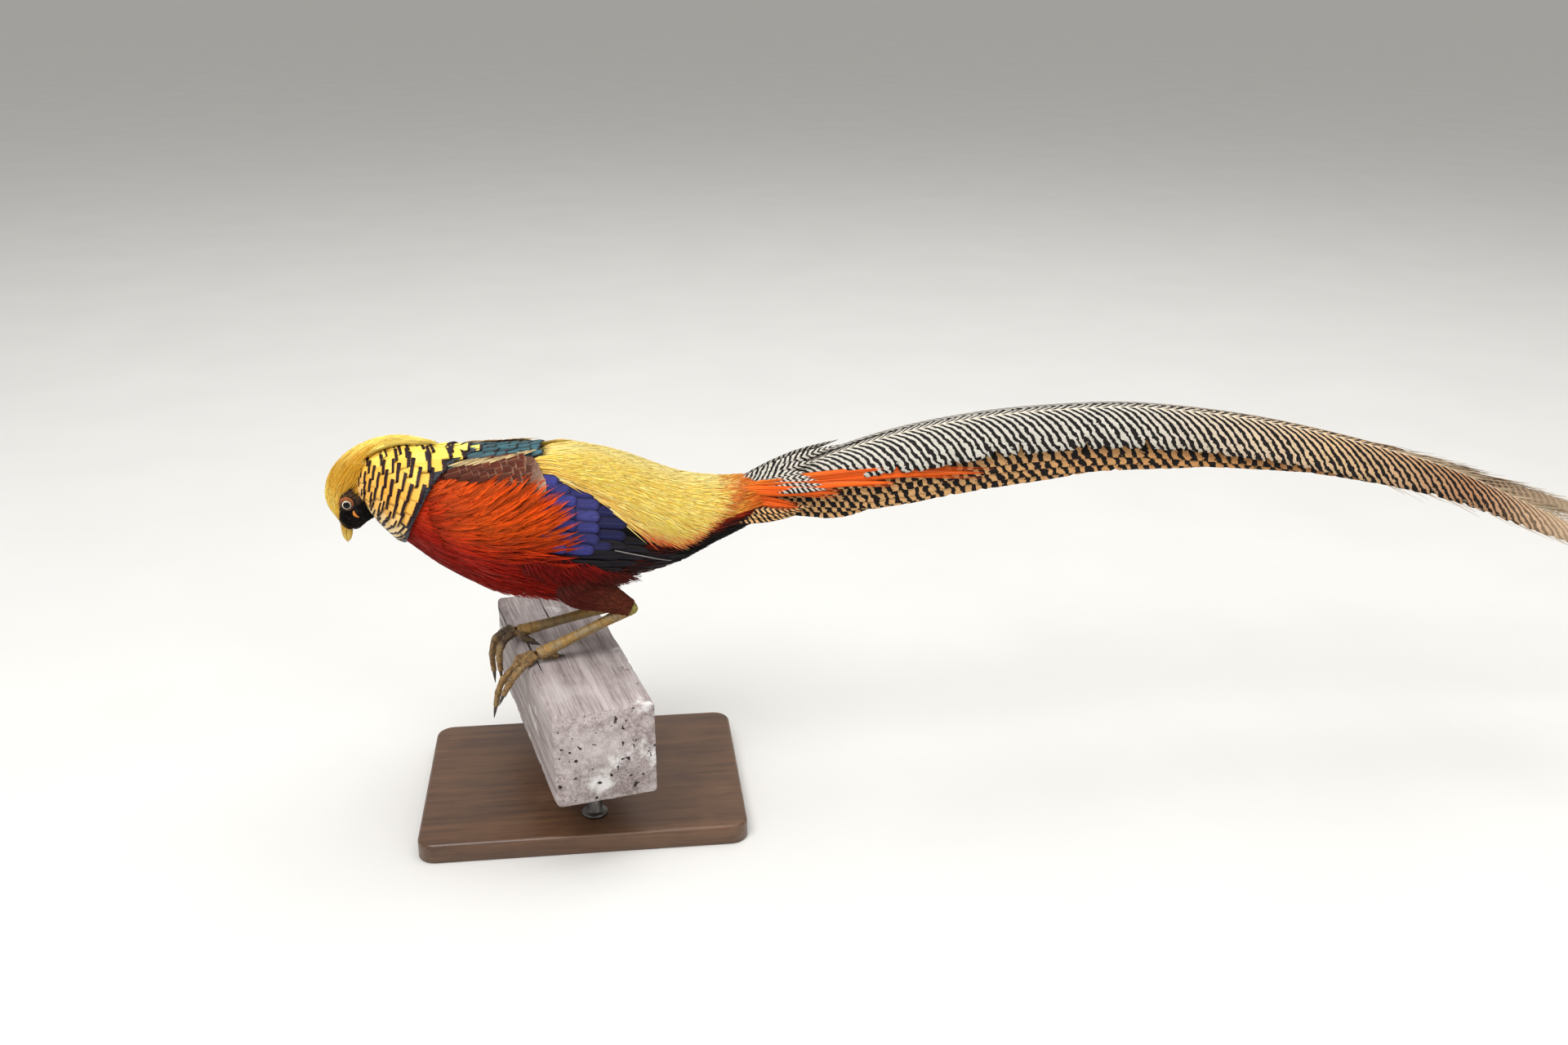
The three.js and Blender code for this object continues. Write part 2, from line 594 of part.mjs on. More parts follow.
// Where the shaft of a tail feather runs at x, for its pair (0 is the long middle one) and side.
function shaftPlace(x, pair, side) {
  const [ridge] = ridgeAt(x);
  const open = THREE.MathUtils.clamp((x - TAIL_ROOT) / 90, 0, 1) ** 0.8;
  const fade = 1 - 0.4 * THREE.MathUtils.smoothstep(x, 430, 700);
  if (pair === 0) {
    const parted = THREE.MathUtils.smoothstep(x, 680, 868);
    return vec(x, side * (lerp(4, 7, open) + 16 * parted), ridge - 1 - (side === LEFT ? 15 * parted : 0));
  }
  return vec(x, side * lerp(4, 8.5, open), ridge - 1 - (lerp(2, 12, open) + pair * lerp(2, 5.9, open)) * fade);
}

// One long feather: its shaft runs along x, the outer vane slopes down and outward,
// and the inner one reaches to the middle.
function tailFeather(pair, side, tipX, { outer, inner, pitch }, grow = 0) {
  const steps = pair === 0 ? 13 : Math.max(4, Math.round((tipX - TAIL_ROOT) / 75));
  const upper = [];
  const lower = [];
  for (let i = 0; i <= steps; i += 1) {
    const t = i / steps;
    const x = lerp(TAIL_ROOT, tipX, t);
    const at = shaftPlace(x, pair, side);
    const taper = t > 0.5 ? Math.sqrt(Math.max(0.0004, 1 - ((t - 0.5) / 0.5) ** 2.3)) : 1;
    const fill = lerp(0.1, 1, THREE.MathUtils.clamp((x - TAIL_ROOT) / 120, 0, 1) ** 0.7) * taper;
    const slope = deg(pitch);
    const droop = vec(0, side * Math.cos(slope), -Math.sin(slope));
    const crown = vec(0, side * Math.sin(slope), Math.cos(slope));
    const inside = vec(0, -side, 0.12);
    const lift = TAIL_THICKNESS / 2 + grow;
    const columns = [
      at.clone().addScaledVector(inside, inner * fill + grow), at.clone(),
      at.clone().addScaledVector(droop, outer * fill * 0.55).addScaledVector(crown, outer * fill * 0.06),
      at.clone().addScaledVector(droop, outer * fill + grow),
    ].filter((_, c) => pair === 0 || c !== 2);
    upper.push(columns.map((p) => p.clone().addScaledVector(crown, lift)));
    lower.push(columns.map((p) => p.clone().addScaledVector(crown, -lift)));
  }
  return sheetSolid(upper, lower);
}

// The orange spear-shaped feathers that lie along the side of the tail, each a little inside the one above it.
function tailPlume(k, side, grow = 0) {
  const startX = TAIL_ROOT + 2;
  const startZ = 256 - k * 3.6;
  const halfWidths = [0.4, 0.85, 1, 0.8, 0.06].map((share) => 4.8 * share);
  const stations = halfWidths.map((half, i) => {
    const t = i / (halfWidths.length - 1);
    const x = lerp(startX, PLUME_TIPS[k][0], t);
    const apart = 21 * ((x - startX) / 175) ** 0.6;
    const at = vec(x, side * (10 + apart - k * 1.5), lerp(startZ, PLUME_TIPS[k][1], t));
    return { at, out: vec(0, side * 0.9, 0.44), half };
  });
  return vane(stations, 0.9, grow);
}

function tailSolid() {
  const [z, high, wide] = trunkAt(TAIL_CUT);
  const stubPlaces = [vec(TAIL_CUT + GAP / 2, 0, z), vec(146, 0, z + 2.2), vec(157, 0, z + 6)];
  const stub = limb(stubPlaces, [0.98, 0.84, 0.49].map((share) => share * Math.min(high, wide)), 16);
  const pieces = [stub];
  SIDES.forEach(([, side]) => {
    const middleTip = MIDDLE_TAIL.tip - (side === LEFT ? MIDDLE_TAIL.nearShorter : 0);
    pieces.push(tailFeather(0, side, middleTip, MIDDLE_TAIL));
    SIDE_TAIL_TIPS.forEach((tip, k) => pieces.push(tailFeather(k + 1, side, tip, SIDE_TAIL)));
    PLUME_TIPS.forEach((_, k) => pieces.push(tailPlume(k, side)));
  });
  return largest(join(pieces).trimByPlane([1, 0, 0], TAIL_CUT + GAP / 2));
}

// The rail: a squared timber with worn edges, turned a little under the bird.
function railSolid() {
  const bevel = RAIL.edge * 0.6;
  const outline = new THREE.Shape();
  const halfW = RAIL.width / 2;
  const halfD = RAIL.depth / 2;
  outline.moveTo(-halfW + bevel, -halfD);
  outline.lineTo(halfW - bevel, -halfD);
  outline.lineTo(halfW, -halfD + bevel);
  outline.lineTo(halfW, halfD - bevel);
  outline.quadraticCurveTo(halfW, halfD, halfW - bevel, halfD);
  outline.lineTo(-halfW + bevel, halfD);
  outline.quadraticCurveTo(-halfW, halfD, -halfW, halfD - bevel);
  outline.lineTo(-halfW, -halfD + bevel);
  outline.closePath();
  const bar = new THREE.ExtrudeGeometry(outline, { depth: RAIL.length, bevelEnabled: false, curveSegments: 3 });
  bar.translate(0, 0, -RAIL.length / 2).rotateX(Math.PI / 2).rotateZ(deg(-RAIL.turn));
  return solid(bar).translate([RAIL.centreX, 0, RAIL.top - halfD]);
}

function baseSolid() {
  const halfL = BASE.length / 2;
  const halfW = BASE.width / 2;
  const plate = new THREE.Shape();
  plate.moveTo(-halfL + BASE.corner, -halfW);
  plate.lineTo(halfL - BASE.corner, -halfW);
  plate.absarc(halfL - BASE.corner, -halfW + BASE.corner, BASE.corner, -Math.PI / 2, 0);
  plate.absarc(halfL - BASE.corner, halfW - BASE.corner, BASE.corner, 0, Math.PI / 2);
  plate.absarc(-halfL + BASE.corner, halfW - BASE.corner, BASE.corner, Math.PI / 2, Math.PI);
  plate.absarc(-halfL + BASE.corner, -halfW + BASE.corner, BASE.corner, Math.PI, 1.5 * Math.PI);
  const slab = new THREE.ExtrudeGeometry(plate, { depth: BASE.thickness, bevelEnabled: false, curveSegments: 5 });
  return solid(slab);
}

function rodSolid(way) {
  const bottom = BASE.thickness + GAP;
  const top = RAIL.top - RAIL.depth - GAP;
  const rod = new THREE.CylinderGeometry(ROD.radius, ROD.radius, top - bottom, 20).rotateX(Math.PI / 2);
  const along = vec(-Math.sin(deg(RAIL.turn)), Math.cos(deg(RAIL.turn)), 0).multiplyScalar((way * ROD.spacing) / 2);
  return solid(rod).translate([RAIL.centreX - along.x, along.y, (top + bottom) / 2]);
}

const model = new THREE.Group();

function addNode(name, shape, look) {
  const kept = largest(largest(shape).simplify(FINE));
  const { vertProperties, triVerts, numProp, numVert } = kept.getMesh();
  const places = new Float32Array(numVert * 3);
  for (let i = 0; i < numVert; i += 1) places.set(vertProperties.subarray(i * numProp, i * numProp + 3), i * 3);
  const geometry = new THREE.BufferGeometry()
    .setAttribute('position', new THREE.BufferAttribute(places, 3))
    .setIndex(new THREE.BufferAttribute(triVerts, 1));
  geometry.computeVertexNormals();
  const [color, roughness] = COLOURS[look];
  const mesh = new THREE.Mesh(geometry, new THREE.MeshStandardMaterial({ color, roughness, metalness: 0 }));
  mesh.name = name;
  model.add(mesh);
  return kept;
}

function buildHead() {
  const bills = [billHalf(true), billHalf(false)];
  const grownBills = join([billHalf(true, GAP), billHalf(false, GAP)]);
  const eyes = SIDES.map(([, side]) => eyeSolid(side, GAP));
  const face = SIDES.flatMap(([, side]) => [lidRing(side), wattle(side)]);
  const head = join([headCore(), ...face, ...crestLocks(0)]);
  addNode('head', head.subtract(grownBills).subtract(join(eyes)), 'head');
  addNode('bill_upper', bills[0].subtract(nostril(LEFT)).subtract(nostril(RIGHT)), 'bill');
  addNode('bill_lower', bills[1].subtract(billHalf(true, GAP)), 'bill');
  SIDES.forEach(([name, side]) => addNode(`eye_${name}`, eyeSolid(side), 'eye'));
}

function buildTrunk() {
  const headRoom = join([headCore(GAP), ...crestLocks(GAP)]);
  const neck = join([neckCore(), ...capeVanes(0)]).subtract(headRoom).subtract(torsoCore(GAP));
  addNode('neck', neck, 'neck');
  const wings = SIDES.map(([name, side]) => [name, wingShape(side), wingShape(side, GAP)]);
  const wingRoom = join(wings.map(([, , room]) => room));
  const backFeathers = (grow) => {
    seed = 20251;
    return [...mantleVanes(grow), ...scapularVanes(grow), ...breastPlumes(grow)];
  };
  addNode('torso', join([torsoCore(), ...backFeathers(0)]).subtract(wingRoom), 'torso');
  const rump = join([rumpCore(), ...rumpVanes(0), ...ventVanes(0)]);
  addNode('rump', rump.subtract(join([wingRoom, ...backFeathers(GAP)])), 'rump');
  wings.forEach(([name, wing]) => addNode(`wing_${name}`, wing, 'wing'));
}

function buildLegs() {
  Object.entries(LEGS).forEach(([name, leg]) => {
    const trunkRoom = trunkTube(-200, 90, GAP);
    const shank = shankLimb(leg);
    addNode(`thigh_${name}`, thighLimb(leg).subtract(trunkRoom).subtract(shankLimb(leg, GAP)), 'thigh');
    const hub = solid(new THREE.SphereGeometry(SHANK.ankle + GAP, 10, 6)).translate(leg.ankle.toArray());
    addNode(`shank_${name}`, shank.subtract(hub), 'foot');
    const ball = solid(new THREE.SphereGeometry(SHANK.ankle, 10, 6)).translate(leg.ankle.toArray());
    const claws = leg.toes.map((places, k) => clawHorn(places, CLAW.length[k]));
    const clawRoom = join(leg.toes.map((places, k) => clawHorn(places, CLAW.length[k], GAP)));
    const toes = join([ball, ...leg.toes.map((places) => toeLimb(leg.ankle, places))]);
    addNode(`foot_${name}`, toes.subtract(clawRoom).subtract(shankLimb(leg, GAP)), 'foot');
    claws.forEach((claw, k) => addNode(`claw_${name}_${k + 1}`, claw, 'claw'));
  });
}

buildHead();
buildTrunk();
addNode('tail', tailSolid(), 'tail');
buildLegs();
addNode('perch', railSolid(), 'perch');
addNode('stand_rod_near', rodSolid(-1), 'stand');
addNode('stand_rod_far', rodSolid(1), 'stand');
addNode('stand_base', baseSolid(), 'stand');

export default model;
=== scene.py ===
import bpy
import numpy as np
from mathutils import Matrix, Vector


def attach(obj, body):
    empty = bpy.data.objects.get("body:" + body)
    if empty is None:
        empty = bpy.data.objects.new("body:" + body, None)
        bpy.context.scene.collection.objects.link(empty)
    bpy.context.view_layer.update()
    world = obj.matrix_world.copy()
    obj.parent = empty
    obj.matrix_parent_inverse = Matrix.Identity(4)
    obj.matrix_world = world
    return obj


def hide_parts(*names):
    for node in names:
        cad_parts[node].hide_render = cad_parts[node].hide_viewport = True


# A cock golden pheasant leaning over a weathered rail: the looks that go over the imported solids.
# Shapes are worked out in millimetres in the frame of the solids and turned into metres when a mesh is made.
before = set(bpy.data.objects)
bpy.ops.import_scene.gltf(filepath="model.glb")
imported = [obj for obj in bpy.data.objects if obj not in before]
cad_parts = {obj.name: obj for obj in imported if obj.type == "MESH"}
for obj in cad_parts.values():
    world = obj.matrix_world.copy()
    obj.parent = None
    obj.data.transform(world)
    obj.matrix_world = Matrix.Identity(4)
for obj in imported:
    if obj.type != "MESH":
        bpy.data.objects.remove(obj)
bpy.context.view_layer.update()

MM = 0.001
LEFT, RIGHT = -1, 1
SIDES = {"left": LEFT, "right": RIGHT}
chance = np.random.default_rng(20251)

# Trunk sections: x, centre height, half height, half width.
TRUNK = [
    [-158, 276, 0.5, 0.5], [-156.5, 275.5, 8, 8], [-152, 274, 15.5, 15], [-144, 271, 23, 22],
    [-133, 267, 29.5, 28.5],
    [-119, 262, 36.5, 34.5], [-96, 251.5, 44.5, 41], [-60, 243, 51.5, 45.5], [-30, 239.5, 54.5, 46.5],
    [0, 237, 55, 45], [38, 237.5, 46, 39.5], [81, 235.5, 32, 30], [113, 241, 21.5, 22],
    [138, 247, 15.5, 15.5], [152, 251, 11, 12],
]
# Head sections up its own axis: height, centre x, half depth, half width.
HEAD = [
    [235.8, -161.4, 0.6, 0.6], [236.8, -161.3, 2.8, 3.8], [238.6, -161.4, 5.2, 6.4], [241, -161.6, 8.2, 8.9],
    [244, -161.2, 11.8, 10.9], [247, -159.3, 15, 12.4], [250, -157.9, 17.2, 13.2], [254, -157.8, 18.4, 14],
    [262, -157.3, 19, 14.8], [271, -156.3, 19.3, 15.2], [280, -153.2, 18.3, 15], [288, -149.5, 14.5, 13.5],
    [294, -146, 8.5, 9.5], [297, -144, 0.6, 0.6],
]
EYE = {"x": -162.6, "y": 10.2, "z": 259.7, "radius": 4.9}
BILL = {"root": 246, "tip": 225.6, "culmen": -171, "gape": -162.2, "tip_x": -167, "half": 4.4}
# Outlines of the coat's fields on the trunk, each corner at x and degrees from the back.
# The first is the line where the red meets the wing.
WING_LINE = [
    (-56, 42), (-38, 43), (-28, 43), (-13, 49), (-5, 56), (4, 64), (8, 74), (11, 80), (12, 92), (6, 101),
    (13, 110),
]
RED_FIELD = [
    (-97, 56), (-85, 47), (-73, 42), *WING_LINE, (14, 119), (2, 128), (30, 148), (44, 181), (-128, 181),
    (-126, 150), (-119, 118), (-113, 95), (-107, 67),
]
LOCK_FIELD = [
    (-84, 50), (-72, 43), *WING_LINE, (6, 120), (-20, 124), (-48, 120), (-68, 106), (-82, 86), (-90, 66),
]
SHOULDER_FIELD = [
    (-80, 34), (-60, 27), (-42, 24.5), (-26, 22), (-17, 33), (-13, 44), (-17, 55), (-33, 46), (-56, 43),
    (-76, 40),
]
RUMP_EDGE = [
    (-24, 4), (-18, 24), (-15, 48), (2, 56), (17, 61), (28, 78), (39, 92), (47, 98), (56, 100), (69, 104),
    (85, 115), (95, 114), (103, 109), (116, 94), (124, 82), (134, 60), (141, 34),
]
CREST_LINE = [
    [-171.5, 243], [-178, 255], [-179, 268], [-173, 283.5], [-159, 297], [-141, 305], [-119, 307.3],
    [-94, 303.5],
]
# Crest cross sections: share along it, half width, how far its sides fall, and the degrees round they reach.
CREST_SIZE = [
    [0, 6, 7, 74], [0.04, 7, 8.4, 88], [0.12, 9.5, 11, 86], [0.24, 13, 14, 88], [0.36, 15.6, 17, 92],
    [0.42, 16.2, 17.2, 78], [0.48, 16.4, 17, 66], [0.53, 16, 15.5, 61], [0.62, 14.5, 12, 54],
    [0.73, 12.8, 10, 41], [0.8, 12, 9, 34], [1, 9, 7, 22],
]
# Top of the black face, seen from the side: each corner at x and height.
FACE_TOP = [
    (-180, 238), (-170.5, 244), (-168.6, 256), (-168, 262), (-166, 266.5), (-159.1, 272.1), (-156.7, 270.5),
    (-146.2, 257.2), (-141, 247),
]
# Cape: degrees from the back, x of its first row of tips and of its last.
CAPE_EDGE = [
    [0, -112, -64], [10, -128, -70], [20, -138, -79], [30, -146, -88], [47, -151, -97], [67, -153, -105],
    [86, -152, -111], [103, -144, -116], [120, -139, -119], [135, -137, -122], [152, -133, -125],
]
LEGS = {
    "left": {
        "side": LEFT, "hip": (-4, -21, 206), "hock": (42.5, -25, 170.5), "ankle": (-29, -26, 136.6),
        "toes": [
            [(-37, -20.5, 133.6), (-45, -16, 129), (-49, -13, 120.5), (-50.5, -11, 112)],
            [(-38, -27.5, 133.7), (-48, -29, 127.5), (-57, -30, 118.5), (-61.5, -30.5, 108), (-64, -31, 97)],
            [(-37, -32.5, 133.5), (-46, -38, 127), (-52.5, -40, 118.5), (-57, -41.5, 110.5)],
            [(-22, -22.5, 133.6), (-15, -20.5, 132)],
        ],
    },
    "right": {
        "side": RIGHT, "hip": (-8, 21, 204), "hock": (29.5, 21, 154), "ankle": (-46.5, 14.5, 138.4),
        "toes": [
            [(-53, 9, 137.5), (-59.5, 4, 131), (-61.5, 2, 121), (-61, 1, 111)],
            [(-55, 15.5, 139), (-64.5, 16, 132.5), (-68, 16.5, 119), (-67.5, 16.5, 104)],
            [(-54, 22, 137.5), (-61, 28.5, 131), (-64, 31, 119), (-64.5, 32, 107)],
            [(-41, 10.5, 134.2), (-34, 7, 131.9)],
        ],
    },
}
CLAW_LENGTH = [8, 10.5, 8.5, 6]
RIDGE = [
    [134, 255], [146, 260], [160, 267.5], [189, 280], [252, 298.5], [316, 309], [380, 313], [445, 312],
    [547, 296.5], [668, 264.5], [770, 230], [868, 196],
]
TAIL_ROOT, TAIL_TIP = 141, 868
SIDE_TIPS = [770, 655, 545, 440, 335, 240]
# The two long feathers: half width of the outer and of the inner vane, and degrees the outer one slopes down.
LONG_OUTER, LONG_INNER, LONG_SLOPE = 34, 6.6, 54
# Orange spears beside the tail's root: half width and the way of each shaft.
PLUMES = [
    [5.6, (132, 10, 259), (143.4, 12, 261.9), (189.6, 18, 267.3), (248.5, 22, 271.5), (315, 23.5, 268.2)],
    [4.6, (130, 11, 257), (140.2, 12.5, 260.9), (177.1, 18.4, 263.2), (211.1, 21.6, 264.8),
     (245.5, 23, 263.2)],
    [4.9, (124, 12, 255), (133.9, 13.4, 258.8), (155.5, 16.8, 258.9), (180.1, 20, 258.2), (203.8, 21, 255.6)],
    [4.8, (116, 13, 253), (126.3, 14.6, 255.5), (143.1, 15.6, 251.6), (158.6, 17, 248), (172.4, 17.5, 244.3)],
    [3.6, (110, 14, 250), (121.3, 14.6, 251.7), (133.8, 14.4, 246), (146.3, 14.6, 241.7)],
]
RAIL = {"top": 130, "depth": 74, "width": 76, "length": 230, "turn": 12.6, "x": -6, "corner": 3.2}
BASE = {"length": 250, "width": 190, "thickness": 16, "corner": 14, "bevel": 3}
ROD = {"radius": 6, "collar": 10, "spacing": 130}

# Where the stations of a broad feather lie along it, and the outlines of feathers from root to tip.
VANE_TIMES = [0, 0.14, 0.34, 0.54, 0.7, 0.81, 0.89, 0.945, 0.98, 1]
ROUND_END = [0.5, 0.74, 0.92, 1, 1, 1, 0.95, 0.8, 0.55, 0.22]
LONG_END = [0.5, 0.74, 0.92, 1, 1, 0.95, 0.82, 0.62, 0.38, 0.12]
SQUARE_END = [0.4, 0.75, 0.95, 1, 1, 1, 1, 0.99, 0.96, 0.9]
SILK_END = [0.6, 1, 0.9, 0.6, 0.08]
HAIR_END = [0.5, 1, 0.9, 0.5, 0.05]
DOWN_END = [0.6, 1, 0.8, 0.1]
# Cross sections of a strand and of a vane: places across and up.
STRAND = [(-1, 0), (1, 0), (0, 0.8)]
VANE = [(-1, 0), (0, -1), (1, 0), (0.66, 0.75), (0.3, 1), (0, 1.5), (-0.3, 1), (-0.66, 0.75)]


# Numbers and surfaces

def run_length(points):
    """How far each point of a line is from its start, along the line."""
    return np.concatenate([[0], np.cumsum(np.linalg.norm(np.diff(points, axis=0), axis=1))])


def profile(rows):
    """A smooth line through [place, value, ...] rows: gives the values at any places."""
    rows = np.array(rows, float)
    at, values = rows[:, 0], rows[:, 1:]
    before = np.maximum(np.arange(len(at)) - 1, 0)
    after = np.minimum(np.arange(len(at)) + 1, len(at) - 1)
    slope = (values[after] - values[before]) / (at[after] - at[before])[:, None]

    def values_at(place):
        place = np.clip(np.asarray(place, float), at[0], at[-1])
        i = np.clip(np.searchsorted(at, place, side="right") - 1, 0, len(at) - 2)
        span = at[i + 1] - at[i]
        t = ((place - at[i]) / span)[..., None]
        span = span[..., None]
        return ((2 * t**3 - 3 * t**2 + 1) * values[i] + (t**3 - 2 * t**2 + t) * span * slope[i]
                + (3 * t**2 - 2 * t**3) * values[i + 1] + (t**3 - t**2) * span * slope[i + 1])
    return values_at


def along_path(points, *extra):
    """A smooth line through points, by the share of its length; extra values may ride along."""
    points = np.array(points, float)
    gone = run_length(points)
    return profile(np.stack([gone / gone[-1], *points.T, *[np.array(e, float) for e in extra]], 1))


def unit(v):
    return v / np.maximum(np.linalg.norm(v, axis=-1, keepdims=True), 1e-9)


def smooth(x, low, high):
    t = np.clip((x - low) / (high - low), 0, 1)
    return t * t * (3 - 2 * t)


def blend(a, b, t):
    return a + (b - a) * t


def over(under, colour, share):
    """Colours with another laid over them, by a share for each."""
    return blend(under, colour, share[:, None])


def spread(low, high, *shape):
    return chance.uniform(low, high, shape)


def turns(count):
    """Even steps once round, in radians."""
    return np.linspace(0, 2 * np.pi, count + 1)[:-1]


def stacked(*values):
    return np.stack(np.broadcast_arrays(*values), -1)


def columns(values):
    return np.moveaxis(values, -1, 0)


trunk_at = profile(TRUNK)
head_at = profile(HEAD)
ridge_at = profile(RIDGE)
crest_line = along_path([[x, 0, z] for x, z in CREST_LINE])
crest_size = profile(CREST_SIZE)


def surface(on, du, dv=0.4):
    """From on(u, v), the bare places of a surface: a function for raised places and the way out at each."""
    def at(u, v, rise=0.0):
        u, v, rise = np.broadcast_arrays(np.asarray(u, float), v, rise)
        out = unit(np.cross(on(u + du, v) - on(u - du, v), on(u, v + dv) - on(u, v - dv)))
        return on(u, v) + out * rise[..., None], out
    return at


def on_trunk(x, angle):
    """Places on the trunk. The angle is from the back in degrees, less than 0 on the left."""
    mid, high, wide = columns(trunk_at(x))
    turn = np.radians(angle)
    return stacked(x, wide * np.sin(turn), mid + high * np.cos(turn))


def on_head(z, turn):
    """Places on the head: the height, and degrees round it from the face, less than 0 on the left."""
    mid, deep, wide = columns(head_at(z))
    turn = np.radians(turn)
    return stacked(mid - deep * np.cos(turn), wide * np.sin(turn), z)


def on_crest(share, turn):
    """Places on the crest's hood: share along it and degrees round it, less than 0 on the left."""
    way = unit(crest_line(np.minimum(share + 0.01, 1)) - crest_line(np.maximum(share - 0.01, 0)))
    out = np.stack([-way[..., 2], 0 * share, way[..., 0]], -1)
    half, fall, _ = columns(crest_size(share))
    turn = np.radians(turn)
    place = crest_line(share) - out * (fall * (1 - np.cos(turn)))[..., None]
    place[..., 1] += half * np.sin(turn)
    return place


trunk = surface(on_trunk, 0.4)
head = surface(on_head, 0.4)
crest = surface(on_crest, 0.004)
# Where each surface lies across the unrolled skin: left edge, width, its first place and its length.
UNROLLED = {trunk: (0.02, 0.6, -160, 320), head: (0.66, 0.14, 228, 72), crest: (0.82, 0.15, 0, 1)}


def unroll(on, u, v):
    """Places on the unrolled skin. The thighs are unrolled as the trunk is."""
    left, width, first, length = UNROLLED.get(on, UNROLLED[trunk])
    return stacked(left + width * (np.asarray(u, float) - first) / length, 0.5 + np.asarray(v) / 375)


def trunk_radius(x):
    _, high, wide = columns(trunk_at(x))
    return (high + wide) / 2


def cape_edge(angle, last=True):
    """x of the cape's last row of tips, or of its first."""
    degrees, first_x, last_x = np.array(CAPE_EDGE, float).T
    return np.interp(angle, degrees, last_x if last else first_x)


def rump_edge(x):
    return np.interp(x, *np.array(RUMP_EDGE, float).T)


def side_angles(points):
    """Degrees from the back for points near the trunk, less than 0 on the left."""
    mid, high, wide = trunk_at(points[:, 0]).T
    return np.degrees(np.arctan2(points[:, 1] / wide, (points[:, 2] - mid) / high))


def above_face(x, z):
    """How far a place on the head lies above the top of the black face, less than 0 in the black."""
    return z - np.interp(x, *np.array(FACE_TOP, float).T)


def thrown(outline, count):
    """Places thrown at random over an outline's box; those inside it are kept."""
    x, angle = (spread(min(side), max(side), count) for side in zip(*outline))
    hit = np.zeros(count, bool)
    for (x0, a0), (x1, a1) in zip(outline, outline[1:] + outline[:1]):
        if a0 != a1:
            hit ^= ((a0 > angle) != (a1 > angle)) & (x < x0 + (angle - a0) * (x1 - x0) / (a1 - a0))
    return x[hit], angle[hit]


def scattered(outline, count):
    """Places scattered at random inside an outline."""
    x, angle = thrown(outline, count * 6)
    return x[:count], angle[:count]


def sown(outline, count):
    """Places scattered evenly inside an outline, none too near to another."""
    x, angle = thrown(outline, count * 12)
    box = np.ptp(np.array(outline, float), axis=0)
    near = 0.62 * np.sqrt(box[0] * box[1] / count * (len(x) / (count * 12)))
    chosen, taken = [], np.zeros(len(x), bool)
    for i in range(len(x)):
        if not taken[i]:
            chosen.append(i)
            taken |= (x - x[i]) ** 2 + (angle - angle[i]) ** 2 < near**2
    return x[chosen], angle[chosen]


# Colours

def paint(red, green, blue):
    """A colour as it looks on screen, 0 to 255, as linear light."""
    c = np.array([red, green, blue], float) / 255
    return np.where(c <= 0.04045, c / 12.92, ((c + 0.055) / 1.055) ** 2.4)


GOLD = paint(232, 176, 44)
PALE_GOLD = paint(252, 226, 112)
OCHRE = paint(214, 156, 38)
AMBER = paint(244, 172, 52)
CREAM = paint(246, 212, 152)
LEMON = paint(255, 226, 100)
STRAW = paint(255, 240, 156)
FLAME = paint(212, 52, 4)
BRIGHT_FLAME = paint(240, 92, 14)
SCARLET = paint(166, 24, 4)
CRIMSON = paint(124, 14, 5)
MAROON = paint(74, 18, 8)
CHESTNUT = paint(108, 42, 18)
TEAL = paint(26, 70, 80)
BLUE = paint(56, 56, 112)
SOOT = paint(24, 20, 22)
BLACK = paint(14, 11, 11)
BUFF = paint(206, 160, 108)
PEARL = paint(186, 181, 170)


def shades(values, *stops):
    """Colours for an array of values, from (value, colour) stops."""
    at, colours = zip(*stops)
    return stacked(*[np.interp(values, at, band) for band in np.array(colours).T])


# Meshes

def placed(name, data):
    made = bpy.data.objects.new(name, data)
    bpy.context.scene.collection.objects.link(made)
    return made


def strips(line, out, half, section, thick=0.25, camber=0.0):
    """Closed strips along lines, facing out, with half widths at each station."""
    along = unit(np.gradient(line, axis=1))
    across = unit(np.cross(out, along))
    up = np.cross(along, across)
    wing, high = np.array(section, float).T
    wide = half[..., None] * wing
    rise = thick * high - camber * half[..., None] * wing ** 2
    return line[:, :, None] + wide[..., None] * across[:, :, None] + rise[..., None] * up[:, :, None]


def strip_values(t, count, section, tone=None):
    """Place values for strips: share along, share across from -1 to 1, and a tone for each strip."""
    tone = spread(0, 1, count) if tone is None else tone
    return stacked(np.reshape(t, (1, -1, 1)), np.array(section, float)[:, 0], tone[:, None, None])


def bake_patch(values, root):
    """Each tuft's own patch, 0.003 across, at its root's place on the unrolled skin."""
    patch = np.stack([values[..., 1] / 2, values[..., 0] - 0.5], -1) * 0.003
    return root[:, None, None] + patch


